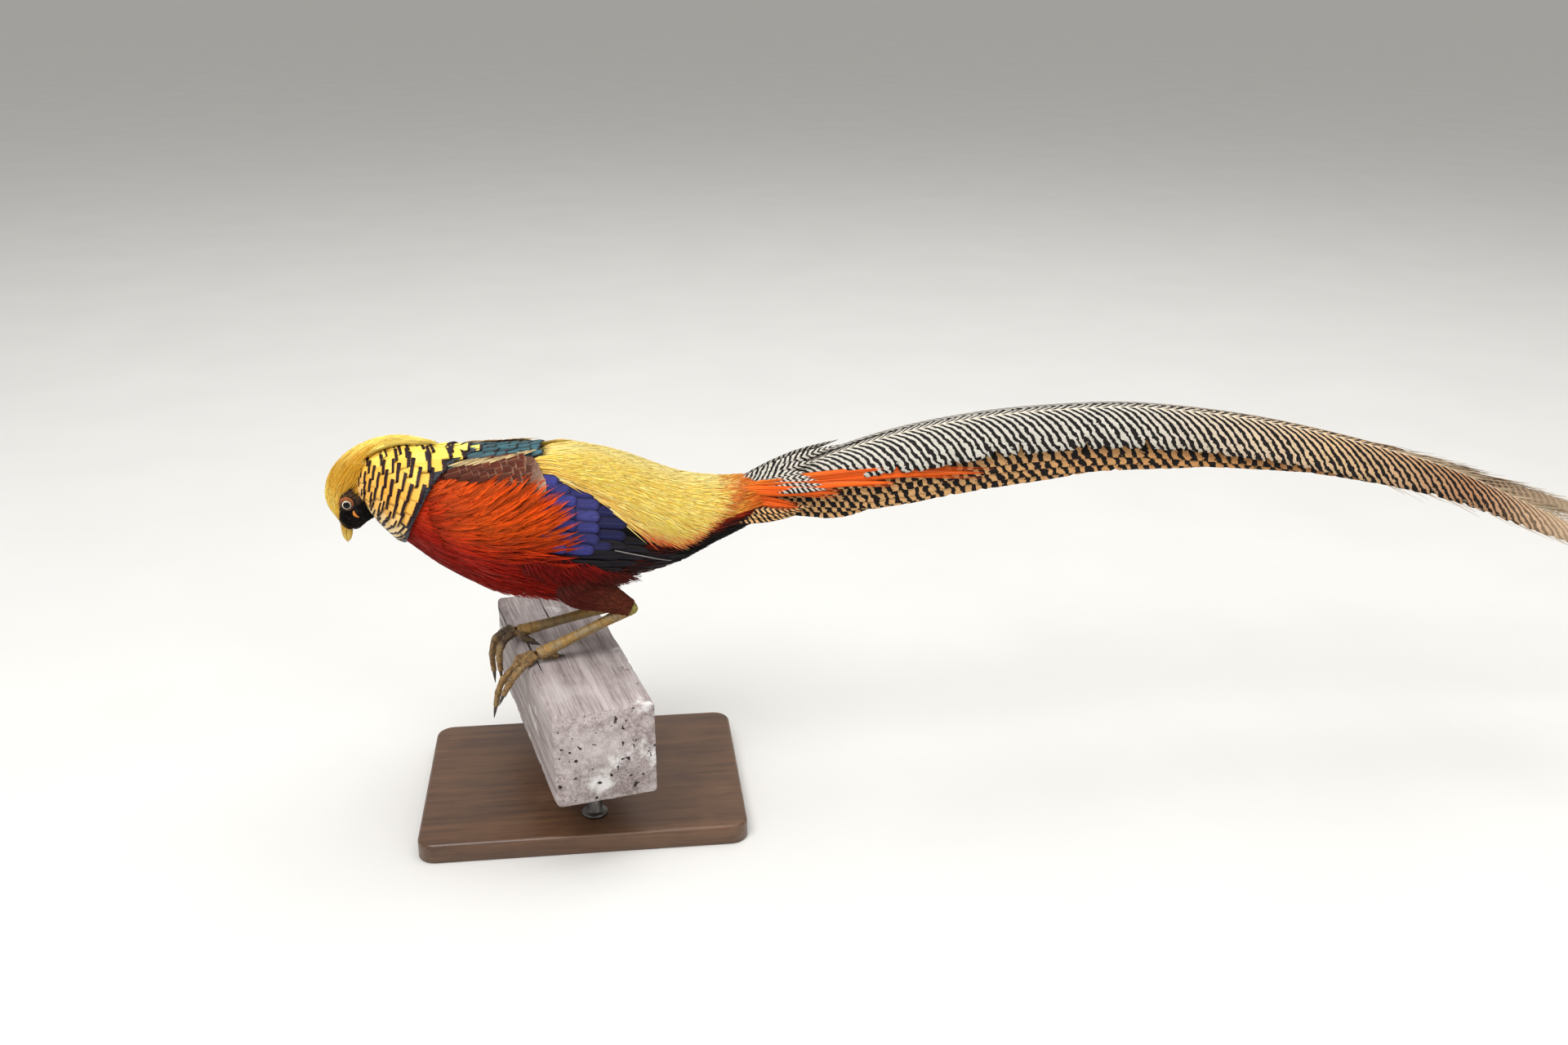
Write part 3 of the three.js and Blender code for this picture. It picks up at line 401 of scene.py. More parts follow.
class Solid:
    """Closed strips and tubes gathered into one mesh, with what their finishes need to know."""

    def __init__(self):
        self.points, self.place, self.tint, self.bake, self.faces, self.count = [], [], [], [], [], 0

    def add(self, points, place=None, tint=None, bake=None):
        """points are strips x stations x places round each.
        place, tint and bake hold a value for each of these, or fewer."""
        n, s, k = points.shape[:3]
        strip = self.count + np.arange(n)[:, None, None] * s * k
        station = np.arange(s - 1)[None, :, None] * k
        here = np.arange(k)[None, None, :]
        beside = (here + 1) % k
        quads = np.stack([here, beside, beside + k, here + k], -1) + (station + strip)[..., None]
        first = strip[:, 0]
        self.faces += [quads.reshape(-1, 4), first + np.arange(k)[::-1], first + (s - 1) * k + np.arange(k)]
        self.count += n * s * k
        self.points.append(points.reshape(-1, 3))
        for kept, value, width in ((self.place, place, 3), (self.tint, tint, 3), (self.bake, bake, 2)):
            value = np.zeros(width) if value is None else np.asarray(value, float)
            while value.ndim < 4:
                value = value[:, None] if value.ndim > 1 else value[None]
            kept.append(np.broadcast_to(value, (n, s, k, width)).reshape(-1, width))
        return self

    def lay(self, on, start, end, rise, half, shape, tint, side=RIGHT,
            section=STRAND, thick=0.25, camber=0.0, roll=0.0, curl=0.0, bend=1.0):
        """Lays strips over a surface from start to end, both (u, v), with v turned over for the left side.
        rise is (at the root, at the tip), half the widest half width, and tint one colour each or (root, tip)
        colours, where a bend above 1 moves the change towards the tip. roll is how far each turns on its own
        line, and curl the bow sideways."""
        even = np.linspace(0, 1, len(shape))
        t = (np.array(VANE_TIMES, float) if len(shape) == len(VANE_TIMES) else even)[None]
        u = blend(start[0][:, None], end[0][:, None], t)
        v = blend(start[1][:, None], end[1][:, None], t) + np.reshape(curl, (-1, 1)) * t**2
        height = blend(np.reshape(rise[0], (-1, 1)), np.reshape(rise[1], (-1, 1)), t**0.75)
        line, out = on(u, side * v, height)
        if np.any(roll):
            beside = unit(np.cross(out, unit(np.gradient(line, axis=1))))
            turn = np.radians(side * roll)
            out = out * np.cos(turn) + beside * np.sin(turn)
        if isinstance(tint, tuple):
            share = even[None, :, None] ** bend
            tint = tint[0][:, None] * (1 - share) + tint[1][:, None] * share
        values = strip_values(t, len(u), section)
        points = strips(line, out, np.reshape(half, (-1, 1)) * np.array(shape), section, thick, camber)
        self.add(points, values, tint[:, :, None] if tint.ndim == 3 else tint[:, None, None],
                 bake_patch(values, unroll(on, start[0], side * start[1])))

    def mesh(self, name, plain=False):
        made = bpy.data.meshes.new(name)
        corners = np.concatenate([f.ravel() for f in self.faces]).astype(np.int32)
        sizes = np.concatenate([np.full(len(f), f.shape[1]) for f in self.faces])
        made.vertices.add(self.count)
        set_points(made, np.concatenate(self.points))
        made.loops.add(len(corners))
        made.loops.foreach_set("vertex_index", corners)
        made.polygons.add(len(sizes))
        made.polygons.foreach_set("loop_start", np.concatenate([[0], np.cumsum(sizes)[:-1]]).astype(np.int32))
        made.update(calc_edges=True)
        if not plain:
            keep_values(made, np.concatenate(self.place), np.concatenate(self.tint))
            keep_bake(made, np.concatenate(self.bake)[corners])
        made.shade_smooth()
        return made


def flat(values):
    return values.ravel().astype(np.float32)


def set_points(mesh, points):
    mesh.vertices.foreach_set("co", flat(points * MM))
    mesh.update()


def points_of(mesh):
    co = np.zeros(len(mesh.vertices) * 3, np.float32)
    mesh.vertices.foreach_get("co", co)
    return co.reshape(-1, 3).astype(float) / MM


def keep_values(mesh, place, tint):
    """Keeps each point's place on its feather and its own colour on the mesh, for the finishes to read."""
    mesh.attributes.new("place", "FLOAT_VECTOR", "POINT").data.foreach_set("vector", flat(place))
    rgba = np.concatenate([tint, np.ones((len(tint), 1))], 1)
    mesh.attributes.new("tint", "FLOAT_COLOR", "POINT").data.foreach_set("color", flat(rgba))


def keep_bake(mesh, uv):
    mesh.uv_layers.new(name="OFBake").data.foreach_set("uv", flat(uv))


def piece(name, made, finish, slot, *nodes):
    """A piece of the model from a solid or a mesh, in one finish or several, in place of the nodes."""
    made = placed(name, made.mesh(name) if isinstance(made, Solid) else made)
    for each in [finish] if isinstance(finish, str) else finish:
        made.data.materials.append(look[each])
    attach(made, "root")
    if nodes:
        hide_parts(*nodes)


def grown_together(solid, grain, smoothing):
    """The solid's parts as one skin, from voxels of a size in metres, smoothed a number of times."""
    made = placed("work", solid.mesh("work", plain=True))
    remesh = made.modifiers.new("remesh", "REMESH")
    remesh.mode, remesh.voxel_size = "VOXEL", grain
    made.modifiers.new("smooth", "SMOOTH").iterations = smoothing
    mesh = bpy.data.meshes.new_from_object(made.evaluated_get(bpy.context.evaluated_depsgraph_get()))
    bpy.data.objects.remove(made)
    return mesh


def limb(path, radii, sides, count):
    """A round limb through points as one tube, smooth along its length."""
    line = along_path(path, radii)(np.linspace(0, 1, count))
    points, radius = line[:, :3], line[:, 3]
    along = unit(np.gradient(points, axis=0))
    side = np.zeros_like(points)
    now = np.array([0.0, 1.0, 0.0])
    for i, way in enumerate(along):
        now = unit(now - way * now.dot(way))
        side[i] = now
    up = np.cross(along, side)
    turn = np.arange(sides) * 2 * np.pi / sides
    ring = np.cos(turn)[:, None] * side[:, None] + np.sin(turn)[:, None] * up[:, None]
    return (points[:, None] + radius[:, None, None] * ring)[None]


# Finishes

class Value:
    """What a node puts out, so that sums can be written with it."""

    def __init__(self, finish, socket):
        self.finish, self.socket = finish, socket

    def __add__(self, other):
        return self.finish.math("ADD", self, other)

    def __sub__(self, other):
        return self.finish.math("SUBTRACT", self, other)

    def __rsub__(self, other):
        return self.finish.math("SUBTRACT", other, self)

    def __mul__(self, other):
        return self.finish.math("MULTIPLY", self, other)

    def __pow__(self, other):
        return self.finish.math("POWER", self, other)

    def __abs__(self):
        return self.finish.math("ABSOLUTE", self)


class Finish:
    """Nodes of a material or group. Inputs may be plain numbers and colours or the values of other nodes."""

    def __init__(self, tree):
        self.tree = tree

    def make(self, kind, inputs=None, **settings):
        """Makes a node and gives its outputs."""
        made = self.tree.nodes.new(kind)
        for key, value in settings.items():
            setattr(made, key, value)
        for key, value in (inputs or {}).items():
            if isinstance(value, Value):
                self.tree.links.new(value.socket, made.inputs[key])
            else:
                made.inputs[key].default_value = (*value, 1) if isinstance(value, np.ndarray) else value
        return [Value(self, socket) for socket in made.outputs]

    def math(self, operation, a, b=0.0, c=0.0):
        return self.make("ShaderNodeMath", {0: a, 1: b, 2: c}, operation=operation)[0]

    def most(self, a, b):
        return self.math("MAXIMUM", a, b)

    def step(self, value, low, high, to_low=0.0, to_high=1.0):
        inputs = {"Value": value, "From Min": low, "From Max": high, "To Min": to_low, "To Max": to_high}
        return self.make("ShaderNodeMapRange", inputs, interpolation_type="SMOOTHSTEP")[0]

    def mix(self, factor, a, b, blend_type="MIX"):
        return self.make("ShaderNodeMix", {0: factor, 6: a, 7: b}, data_type="RGBA", blend_type=blend_type)[2]

    def layers(self, colour, *rows):
        """A colour with others laid over it in turn, from (share, red, green, blue) rows."""
        for share, *rgb in rows:
            colour = self.mix(share, colour, paint(*rgb))
        return colour

    def noise(self, vector, scale, detail=3.0, rough=0.55):
        inputs = {"Vector": vector, "Scale": scale, "Detail": detail, "Roughness": rough}
        return self.make("ShaderNodeTexNoise", inputs)[0]

    def cells(self, scale, feature):
        return self.make("ShaderNodeTexVoronoi", {"Vector": self.spot(), "Scale": scale}, feature=feature)[0]

    def spot(self, turn=(0, 0, 0), scale=(1, 1, 1)):
        """The place on the object, turned and then stretched."""
        place = self.make("ShaderNodeTexCoord")[3]
        turned = self.make("ShaderNodeMapping", {"Vector": place, "Rotation": turn})[0]
        return self.make("ShaderNodeMapping", {"Vector": turned, "Scale": scale})[0]

    def vector(self, *parts):
        return self.make("ShaderNodeCombineXYZ", dict(enumerate(parts)))[0]

    def parts(self, vector):
        return self.make("ShaderNodeSeparateXYZ", {0: vector})

    def place(self):
        return self.make("ShaderNodeAttribute", attribute_name="place")[1]

    def tint(self):
        return self.make("ShaderNodeAttribute", attribute_name="tint")[0]

    def bump(self, height, distance, strength=1.0):
        return self.make("ShaderNodeBump", {"Height": height, "Distance": distance, "Strength": strength})[0]

    def group(self, tree, *inputs):
        return self.make("ShaderNodeGroup", dict(enumerate(inputs)), node_tree=tree)

    def patches(self, scale, low, high):
        """A mask of uneven patches, and a finer unevenness."""
        return self.group(uneven, scale, low, high)


FLOAT, VECTOR = "NodeSocketFloat", "NodeSocketVector"


def new_group(name, inputs, draw):
    """A node group with the inputs' names and kinds; draw(f, its inputs) gives what it puts out, by name."""
    tree = bpy.data.node_groups.new(name, "ShaderNodeTree")
    for key, kind in inputs.items():
        tree.interface.new_socket(name=key, in_out="INPUT", socket_type=kind)
    f = Finish(tree)
    results = draw(f, *f.make("NodeGroupInput")[:len(inputs)])
    for key in results:
        tree.interface.new_socket(name=key, in_out="OUTPUT", socket_type=FLOAT)
    f.make("NodeGroupOutput", results)
    return tree


def draw_barbs(f, place, count, slant, shaft_width):
    """Fine barbs that slant from the shaft to the edge of a feather, and the shaft itself."""
    along, across, tone = f.parts(place)
    off = abs(across)
    spot = f.vector(along * count - off * slant, off * 0.6, tone * 40.0)
    barbs, split = f.noise(spot, 1.6, 2.0, 0.6), f.noise(spot, 0.42, 1.0, 0.5)
    return {"Barbs": f.step(barbs, 0.3, 0.7), "Shaft": f.step(off, shaft_width, 0.0),
            "Split": f.step(split, 0.6, 0.68)}


def draw_patches(f, scale, low, high):
    """Uneven patches over a surface, for dust, stains and wear."""
    spot = f.spot()
    broad = f.noise(spot, scale, 5.0, 0.62)
    return {"Mask": f.step(broad, low, high), "Fine": f.noise(spot, scale * 7.0, 3.0, 0.6)}


def draw_grain(f, place, crack):
    """Long timber grain along Y: fibres, cracks and the height of both."""
    def stretched(across, along, *kind):
        spot = f.make("ShaderNodeMapping", {"Vector": place, "Scale": (across, along, across)})[0]
        return f.noise(spot, 1.0, *kind)
    fibres = stretched(620, 22, 5.0, 0.7)
    bands = stretched(120, 5, 3.0, 0.5)
    cracks = f.step(stretched(210, 6.5, 2.0, 0.45), 1.0 - crack, 1.04 - crack)
    return {"Fibres": fibres * 0.6 + bands * 0.4, "Cracks": cracks,
            "Height": fibres * 0.5 + bands * 0.5 - cracks}


barb_lines = new_group(
    "feather_barbs", {"Place": VECTOR, "Count": FLOAT, "Slant": FLOAT, "Shaft Width": FLOAT}, draw_barbs)
uneven = new_group("uneven_patches", {"Scale": FLOAT, "Low": FLOAT, "High": FLOAT}, draw_patches)
timber_grain = new_group("timber_grain", {"Place": VECTOR, "Crack": FLOAT}, draw_grain)
look = {}


def material(name, build, **sockets):
    """A finish whose build(f) gives a dict of linked inputs; sockets hold the plain ones."""
    look[name] = bpy.data.materials.new(name)
    look[name].use_nodes = True
    look[name].node_tree.nodes.clear()
    f = Finish(look[name].node_tree)
    plain = {key.replace("_", " "): value for key, value in sockets.items()}
    shader = f.make("ShaderNodeBsdfPrincipled", {**plain, **build(f)})[0]
    f.make("ShaderNodeOutputMaterial", {"Surface": shader})


def feathers(name, pattern=None, count=60.0, slant=14.0, shaft=0.06, depth=0.00012, contrast=0.3,
             roughness=0.5, warm=0.0, **sockets):
    """Feathers coloured by their own tint, with barbs in colour and bump.
    warm is how far their darker parts turn to orange. pattern(f, colour) may draw on them by f.along,
    f.across, f.tone, f.barbs, f.shaft and f.split."""
    def build(f):
        place = f.place()
        f.along, f.across, f.tone = f.parts(place)
        f.barbs, f.shaft, f.split = f.group(barb_lines, place, count, slant, shaft)
        colour = pattern(f, f.tint()) if pattern else f.tint()
        shade = f.math("MULTIPLY_ADD", f.barbs, contrast, 1.0 - contrast * 0.6)
        shade = shade * f.step(f.tone, 0.0, 1.0, 0.84, 1.16)
        red, blue = (shade ** (1 + turn * warm) for turn in (-0.7, 1.2))
        shading = f.make("ShaderNodeCombineColor", {0: red, 1: shade, 2: blue})[0]
        return {"Base Color": f.mix(1.0, colour, shading, "MULTIPLY"),
                "Roughness": f.step(f.barbs, 0.0, 1.0, roughness + 0.1, roughness - 0.08),
                "Normal": f.bump(f.barbs + f.shaft * 1.5, depth, 0.7)}
    material(name, build, **{"Specular_IOR_Level": 0.16, **sockets})


def cape_pattern(f, colour):
    """A dark bar at the tip of each feather, bowed and a little slanted, that fades in between the barbs."""
    wave, bow = (f.barbs - 0.5) * 0.028, f.across ** 2.0 * 0.02
    along = f.along + wave + (bow + f.across * 0.02)
    start = f.step(f.tone, 0.0, 1.0, 0.87, 0.9)
    tip = f.step(along - start, -0.006, 0.01)
    faint = f.step(along - start, -0.06, 0.0) * f.step(f.barbs, 0.5, 0.1, 0.0, 0.3)
    return f.layers(colour, (f.most(tip, faint), 38, 20, 26))


def mantle_pattern(f, colour):
    off = abs(f.across)
    # Painted highlight: a lighter teal down the middle of each feather stands for its sheen.
    painted_highlight = f.layers(colour, (f.step(off, 0.5, 0.0) * 0.6, 58, 122, 132))
    return f.mix(f.most(f.step(off, 0.62, 0.78), f.step(f.along, 0.93, 0.96)), painted_highlight, BLACK)


def shaft_pattern(f, colour):
    return f.layers(colour, (f.shaft * 0.75, 230, 206, 170))


def shoulder_pattern(f, colour):
    edge = f.most(f.step(abs(f.across), 0.75, 1.0, 0.0, 0.3), f.step(f.along, 0.93, 1.0, 0.0, 0.4))
    return f.layers(colour, (edge, 190, 156, 128), (f.split * 0.5, 50, 22, 14), (f.shaft * 0.6, 186, 132, 96))


def wing_pattern(f, colour):
    off = abs(f.across)
    rim = f.most(f.step(off, 0.6, 1.0, 0.0, 0.75), f.step(f.along, 0.9, 1.0, 0.0, 0.6))
    colour = f.layers(colour, (f.shaft * 0.35, 96, 98, 150))
    return f.mix(f.most(rim, f.split * f.step(off, 0.2, 0.8, 0.0, 0.7)), colour, SOOT)


def bar_pattern(dark_share, wander, light_shaft):
    """Wavy bars that run with the barbs. f.along counts the bars so far, and f.tone is how clear they are."""
    def draw(f, colour):
        spot = f.spot(scale=(170, 170, 170))
        wave, fine = f.noise(spot, 1.0, 2.0, 0.5) - 0.5, f.noise(spot, 3.2, 2.0, 0.6) - 0.5
        shift = wave * f.step(abs(f.across), 0.0, 1.0, wander * 0.5, wander * 1.6)
        cycle = f.math("SINE", (f.along + shift + fine * (wander * 0.35)) * 6.28319)
        edge = 1 - 2 * dark_share
        bar = f.step(cycle + fine * 0.9, edge - 0.16, edge + 0.16) * f.tone
        ink = f.layers(paint(84, 58, 40), (f.step(f.tone, 0.2, 0.8), 16, 12, 11))
        return f.layers(f.mix(bar, colour, ink), (f.shaft * light_shaft, 222, 206, 182))
    return draw


fine_hair = {"slant": 0.0, "shaft": 0.0}
long_vane = {"count": 2.2, "slant": 5.0, "depth": 0.00006, "roughness": 0.55}
feathers("crest_silk", count=3.0, **fine_hair, contrast=0.1, roughness=0.38, warm=1.0, Specular_IOR_Level=0.4)
feathers("rump_hair", count=4.0, **fine_hair, contrast=0.1, roughness=0.55, warm=1.0, Sheen_Weight=0.5,
         Sheen_Tint=(1.0, 0.9, 0.55, 1.0))
feathers("hair_feathers", count=4.0, **fine_hair, contrast=0.12)
feathers("cape_feathers", cape_pattern, count=26.0, slant=6.0, shaft=0.03, contrast=0.16, roughness=0.42,
         warm=0.8)
feathers("cape_rim_dark", count=20.0, slant=5.0, shaft=0.05, contrast=0.4, roughness=0.3, Coat_Weight=0.25,
         Coat_Roughness=0.3, Sheen_Weight=0.15)
feathers("mantle_green", mantle_pattern, count=34.0, slant=8.0, contrast=0.5, roughness=0.34,
         Specular_IOR_Level=0.4)
feathers("shoulder_brown", shoulder_pattern, count=40.0, slant=12.0, contrast=0.55)
feathers("wing_blue", wing_pattern, slant=18.0, shaft=0.05, contrast=0.55)
feathers("tail_middle", bar_pattern(0.52, 0.85, 0.8), shaft=0.03, contrast=0.2, **long_vane)
feathers("tail_side", bar_pattern(0.54, 0.7, 0.3), shaft=0.04, contrast=0.25, **long_vane)
feathers("tail_orange", shaft_pattern, slant=22.0, shaft=0.05, roughness=0.45)


def skin(f):
    mask, fine = f.patches(140.0, 0.35, 0.7)
    return {"Base Color": f.mix(mask * 0.5, f.tint(), BLACK), "Normal": f.bump(fine, 0.0004)}


def bare(f):
    mask, _ = f.patches(300.0, 0.4, 0.65)
    colour = f.layers(f.tint(), (mask * 0.55, 60, 26, 14))
    return {"Base Color": colour, "Normal": f.bump(f.cells(1500.0, "F1"), 0.00022, 0.8)}


def eye(f):
    ray, off, _ = f.parts(f.place())
    veins = f.noise(f.vector(ray * 9.0, off * 0.8), 1.6, 3.0, 0.6)
    colour = f.layers(paint(226, 216, 186), (f.step(veins, 0.35, 0.7), 250, 244, 224),
                      (f.step(off, 2.85, 2.6), 150, 126, 92), (f.step(off, 2.68, 2.52), 4, 3, 3),
                      (f.step(off, 3.1, 3.45), 30, 20, 14))
    return {"Base Color": colour, "Coat Weight": f.step(off, 1.7, 2.3, 0.12, 0.6)}


def bill(f):
    down, _, _ = f.parts(f.place())
    mask, fine = f.patches(260.0, 0.4, 0.68)
    streak = f.noise(f.spot(scale=(1400, 1400, 160)), 1.0, 3.0, 0.6)
    colour = f.layers(paint(190, 146, 28), (f.step(down, 0.35, 1.0), 216, 184, 80),
                      (f.step(down, 0.2, 0.04), 96, 50, 24), (mask * 0.3, 130, 88, 20))
    return {"Base Color": colour, "Roughness": f.step(streak, 0.2, 0.8, 0.28, 0.5),
            "Normal": f.bump(streak + fine * 0.5, 0.0001)}


def claw(f):
    out, _, _ = f.parts(f.place())
    mask, fine = f.patches(420.0, 0.42, 0.62)
    colour = f.layers(paint(66, 52, 40), (f.step(out, 0.1, 0.9), 30, 24, 20), (mask * 0.5, 92, 80, 66))
    rings = f.math("SINE", out * 60.0)
    return {"Base Color": colour, "Normal": f.bump(fine + rings * 0.15, 0.00015)}


def legs(f):
    down, front, toe = f.parts(f.place())
    band = f.math("FRACT", down * 0.6)
    gap = f.most(f.step(band, 0.16, 0.02), f.step(band, 0.84, 0.98))
    seams = f.mix(f.step(front, -0.15, 0.25), f.step(f.cells(620.0, "DISTANCE_TO_EDGE"), 0.12, 0.0), gap)
    worn, fine = f.patches(110.0, 0.42, 0.62)
    mud, lumps = f.patches(210.0, 0.46, 0.6)
    hock = f.step(down, 14.0, 4.0) * f.step(toe, 0.3, 0.1)
    caked = f.step(toe, 1.1, 1.7) * f.step(lumps, 0.35, 0.5)
    colour = f.layers(paint(164, 122, 50), (worn, 146, 126, 88), (fine * 0.35, 196, 172, 128),
                      (f.step(toe, 0.0, 1.0, 0.0, 0.55), 140, 104, 60), (hock * 0.8, 150, 146, 52),
                      (mud * f.step(toe, 0.1, 1.0, 0.1, 0.6), 70, 52, 36), (caked * 0.9, 44, 36, 30),
                      (seams * 0.62, 74, 52, 26))
    return {"Base Color": colour, "Roughness": f.step(mud, 0.0, 1.0, 0.42, 0.8),
            "Normal": f.bump((fine + caked) * 0.3 - seams, 0.0005)}


def weathered(f):
    fibres, cracks, height = f.group(timber_grain, f.spot(turn=(0, 0, -np.radians(RAIL["turn"]))), 0.335)
    stains = f.patches(16.0, 0.45, 0.7)[0]
    lime = f.patches(21.0, 0.58, 0.67)[0]
    dirt = f.patches(75.0, 0.66, 0.74)[0]
    colour = f.layers(paint(122, 108, 106), (f.step(fibres, 0.36, 0.66), 190, 179, 177),
                      (stains * 0.45, 202, 194, 192),
                      (lime * 0.75, 236, 234, 232), (dirt * 0.8, 58, 48, 42), (cracks, 40, 30, 26))
    return {"Base Color": colour, "Normal": f.bump(height, 0.0011)}


def oiled(f):
    fibres, _, height = f.group(timber_grain, f.spot(turn=(0, 0, np.pi / 2)), 0.0)
    wear, _ = f.patches(24.0, 0.4, 0.75)
    colour = f.layers(paint(64, 42, 28), (f.step(fibres, 0.32, 0.7), 104, 72, 48), (wear * 0.25, 130, 98, 70))
    return {"Base Color": colour, "Roughness": f.step(wear, 0.0, 1.0, 0.34, 0.5),
            "Normal": f.bump(height, 0.00012)}


def steel(f):
    brushed = f.noise(f.spot(scale=(900, 900, 30)), 1.0, 4.0, 0.6)
    wear, _ = f.patches(90.0, 0.45, 0.7)
    return {"Base Color": f.layers(paint(92, 90, 88), (wear, 128, 125, 120)),
            "Roughness": f.step(brushed, 0.3, 0.7, 0.28, 0.48), "Normal": f.bump(brushed, 0.00003)}


def pale(f):
    fine = f.noise(f.spot(), 6.0, 4.0, 0.5)
    colour = f.layers(paint(214, 213, 210), (fine, 222, 221, 218))
    return {"Base Color": colour, "Normal": f.bump(fine, 0.0002)}


material("down_under_feathers", skin, Roughness=0.8)
material("bare_face_skin", bare, Roughness=0.5, Subsurface_Weight=0.08, Subsurface_Scale=0.002)
material("eye_glass", eye, Roughness=0.3, Specular_IOR_Level=0.12, Coat_Roughness=0.02)
material("bill_horn", bill, Coat_Weight=0.2, Coat_Roughness=0.25)
material("claw_horn", claw, Roughness=0.38)
material("leg_scales", legs)
material("weathered_timber", weathered, Roughness=0.85)
material("oiled_timber", oiled, Coat_Weight=0.15, Coat_Roughness=0.3)
material("blackened_steel", steel, Metallic=1.0)
material("pale_floor", pale, Roughness=0.9)


# Skin, head and legs

def joints(leg):
    """Hip, knee, hock and ankle of a leg."""
    hip, hock, ankle = (np.array(leg[part], float) for part in ("hip", "hock", "ankle"))
    return hip, hip + [8, leg["side"] * 3, -14], hock, ankle


def painted_shade_skin_colours(points):
    """The coat's own markings for the skin under it, painted darker as the shade that falls between the
    feathers.
    """
    x, _, z = points.T
    angle = np.abs(side_angles(points))
    rear, low, face = cape_edge(angle), rump_edge(x), above_face(x, z)
    colour = shades(angle, (50, FLAME), (90, SCARLET), (125, CRIMSON), (160, MAROON))
    for marking, share in (
            (AMBER, smooth(x, rear + 3, rear - 3)),
            (TEAL * 0.5, smooth(angle, 46, 38) * smooth(x, rear - 2, rear + 3)),
            (BLACK, smooth(x, -30, -20) * smooth(angle, 50, 58) * smooth(x, 90, 80)),
            (LEMON * 1.4, smooth(x, -34, -26) * smooth(angle, low - 10, low - 18) * smooth(x, 132, 116)),
            (FLAME, smooth(x, 116, 128)),
            (BLACK, smooth(angle, 112, 122) * smooth(x, 0, 40)),
            (BLACK, smooth(x, -133, -140) * smooth(face, 1.5, -1.5)),
            (GOLD * 1.6, smooth(face, -1.5, 1.5) * smooth(x, -118, -128)),
            (MAROON, smooth(z, 196, 188) * smooth(x, -30, -20))):
        colour = over(colour, marking, share)
    # Painted shade: all the skin is darkened to 0.55 as the shadow between the feathers; the lemon under the
    # rump and the gold under the crest are raised so that less shade is painted there.
    return colour * 0.55


def build_skin():
    """One skin over trunk, head and thighs, the coat's depth inside the solids, with lids round the eyes."""
    body = Solid()
    x = np.concatenate([np.linspace(-157.4, -150, 8), np.linspace(-147, 151, 84)])
    turn = np.linspace(0, 360, 73)[:-1]
    body.add(trunk(x[:, None], turn[None], -0.8)[0][None])
    z = np.concatenate([np.linspace(236, 241, 8), np.linspace(242, 296.6, 32)])
    body.add(head(z[:, None], -turn[None, ::2], -0.7)[0][None])
    hood = []
    for share in np.linspace(0.02, 0.8, 24):
        reach = crest_size(share)[2]
        arc = np.linspace(-reach, reach, 17)
        hood.append(np.concatenate([crest(share, arc, -3.2)[0], crest(share, arc[::-1] * 0.9, -7.5)[0]]))
    body.add(np.array(hood)[None, :, ::-1])
    for leg in LEGS.values():
        hip, knee, hock, _ = joints(leg)
        path = [hip, knee, *[blend(knee, hock, t) for t in (0.45, 0.75, 0.9)]]
        body.add(limb(path, [18, 16.5, 11, 7, 5.0], 24, 26))
    mesh = grown_together(body, 0.0015, 3)
    points = points_of(mesh)
    for side in SIDES.values():
        off = np.hypot(points[:, 0] - EYE["x"], points[:, 2] - EYE["z"])
        near = (off < 4.6) & (points[:, 1] * side > 6)
        points[near, 1] = side * 8.6
    set_points(mesh, points)
    keep_values(mesh, np.zeros_like(points), painted_shade_skin_colours(points))
    unroll_skin(mesh, points)
    mesh = joined(mesh, [lids(side) for side in SIDES.values()])
    mesh.shade_smooth()
    piece("body_skin", mesh, ["down_under_feathers", "bare_face_skin"], "plumage_body")


def unroll_skin(mesh, points):
    """Unrolls the skin along the trunk, as the coat's roots are placed."""
    corners = np.zeros(len(mesh.loops), np.int32)
    mesh.loops.foreach_get("vertex_index", corners)
    uv = unroll(trunk, points[:, 0], side_angles(points))[corners]
    starts = np.zeros(len(mesh.polygons), np.int32)
    mesh.polygons.foreach_get("loop_start", starts)
    face = np.searchsorted(starts, np.arange(len(corners)), side="right") - 1
    high = np.maximum.reduceat(uv[:, 1], starts)[face]
    uv[:, 1] += np.where((high > 0.9) & (uv[:, 1] < 0.1), 0.96, 0)
    keep_bake(mesh, uv)


def joined(mesh, parts):
    """The skin with its bare parts joined to it, which take the second finish."""
    work = [placed("work", each) for each in (mesh, *parts)]
    bpy.ops.object.select_all(action="DESELECT")
    for each in work:
        each.data.materials.append(look["down_under_feathers" if each is work[0] else "bare_face_skin"])
        each.select_set(True)
    bpy.context.view_layer.objects.active = work[0]
    bpy.ops.object.join()
    result = work[0].data.copy()
    bpy.data.objects.remove(work[0])
    result.materials.clear()
    return result


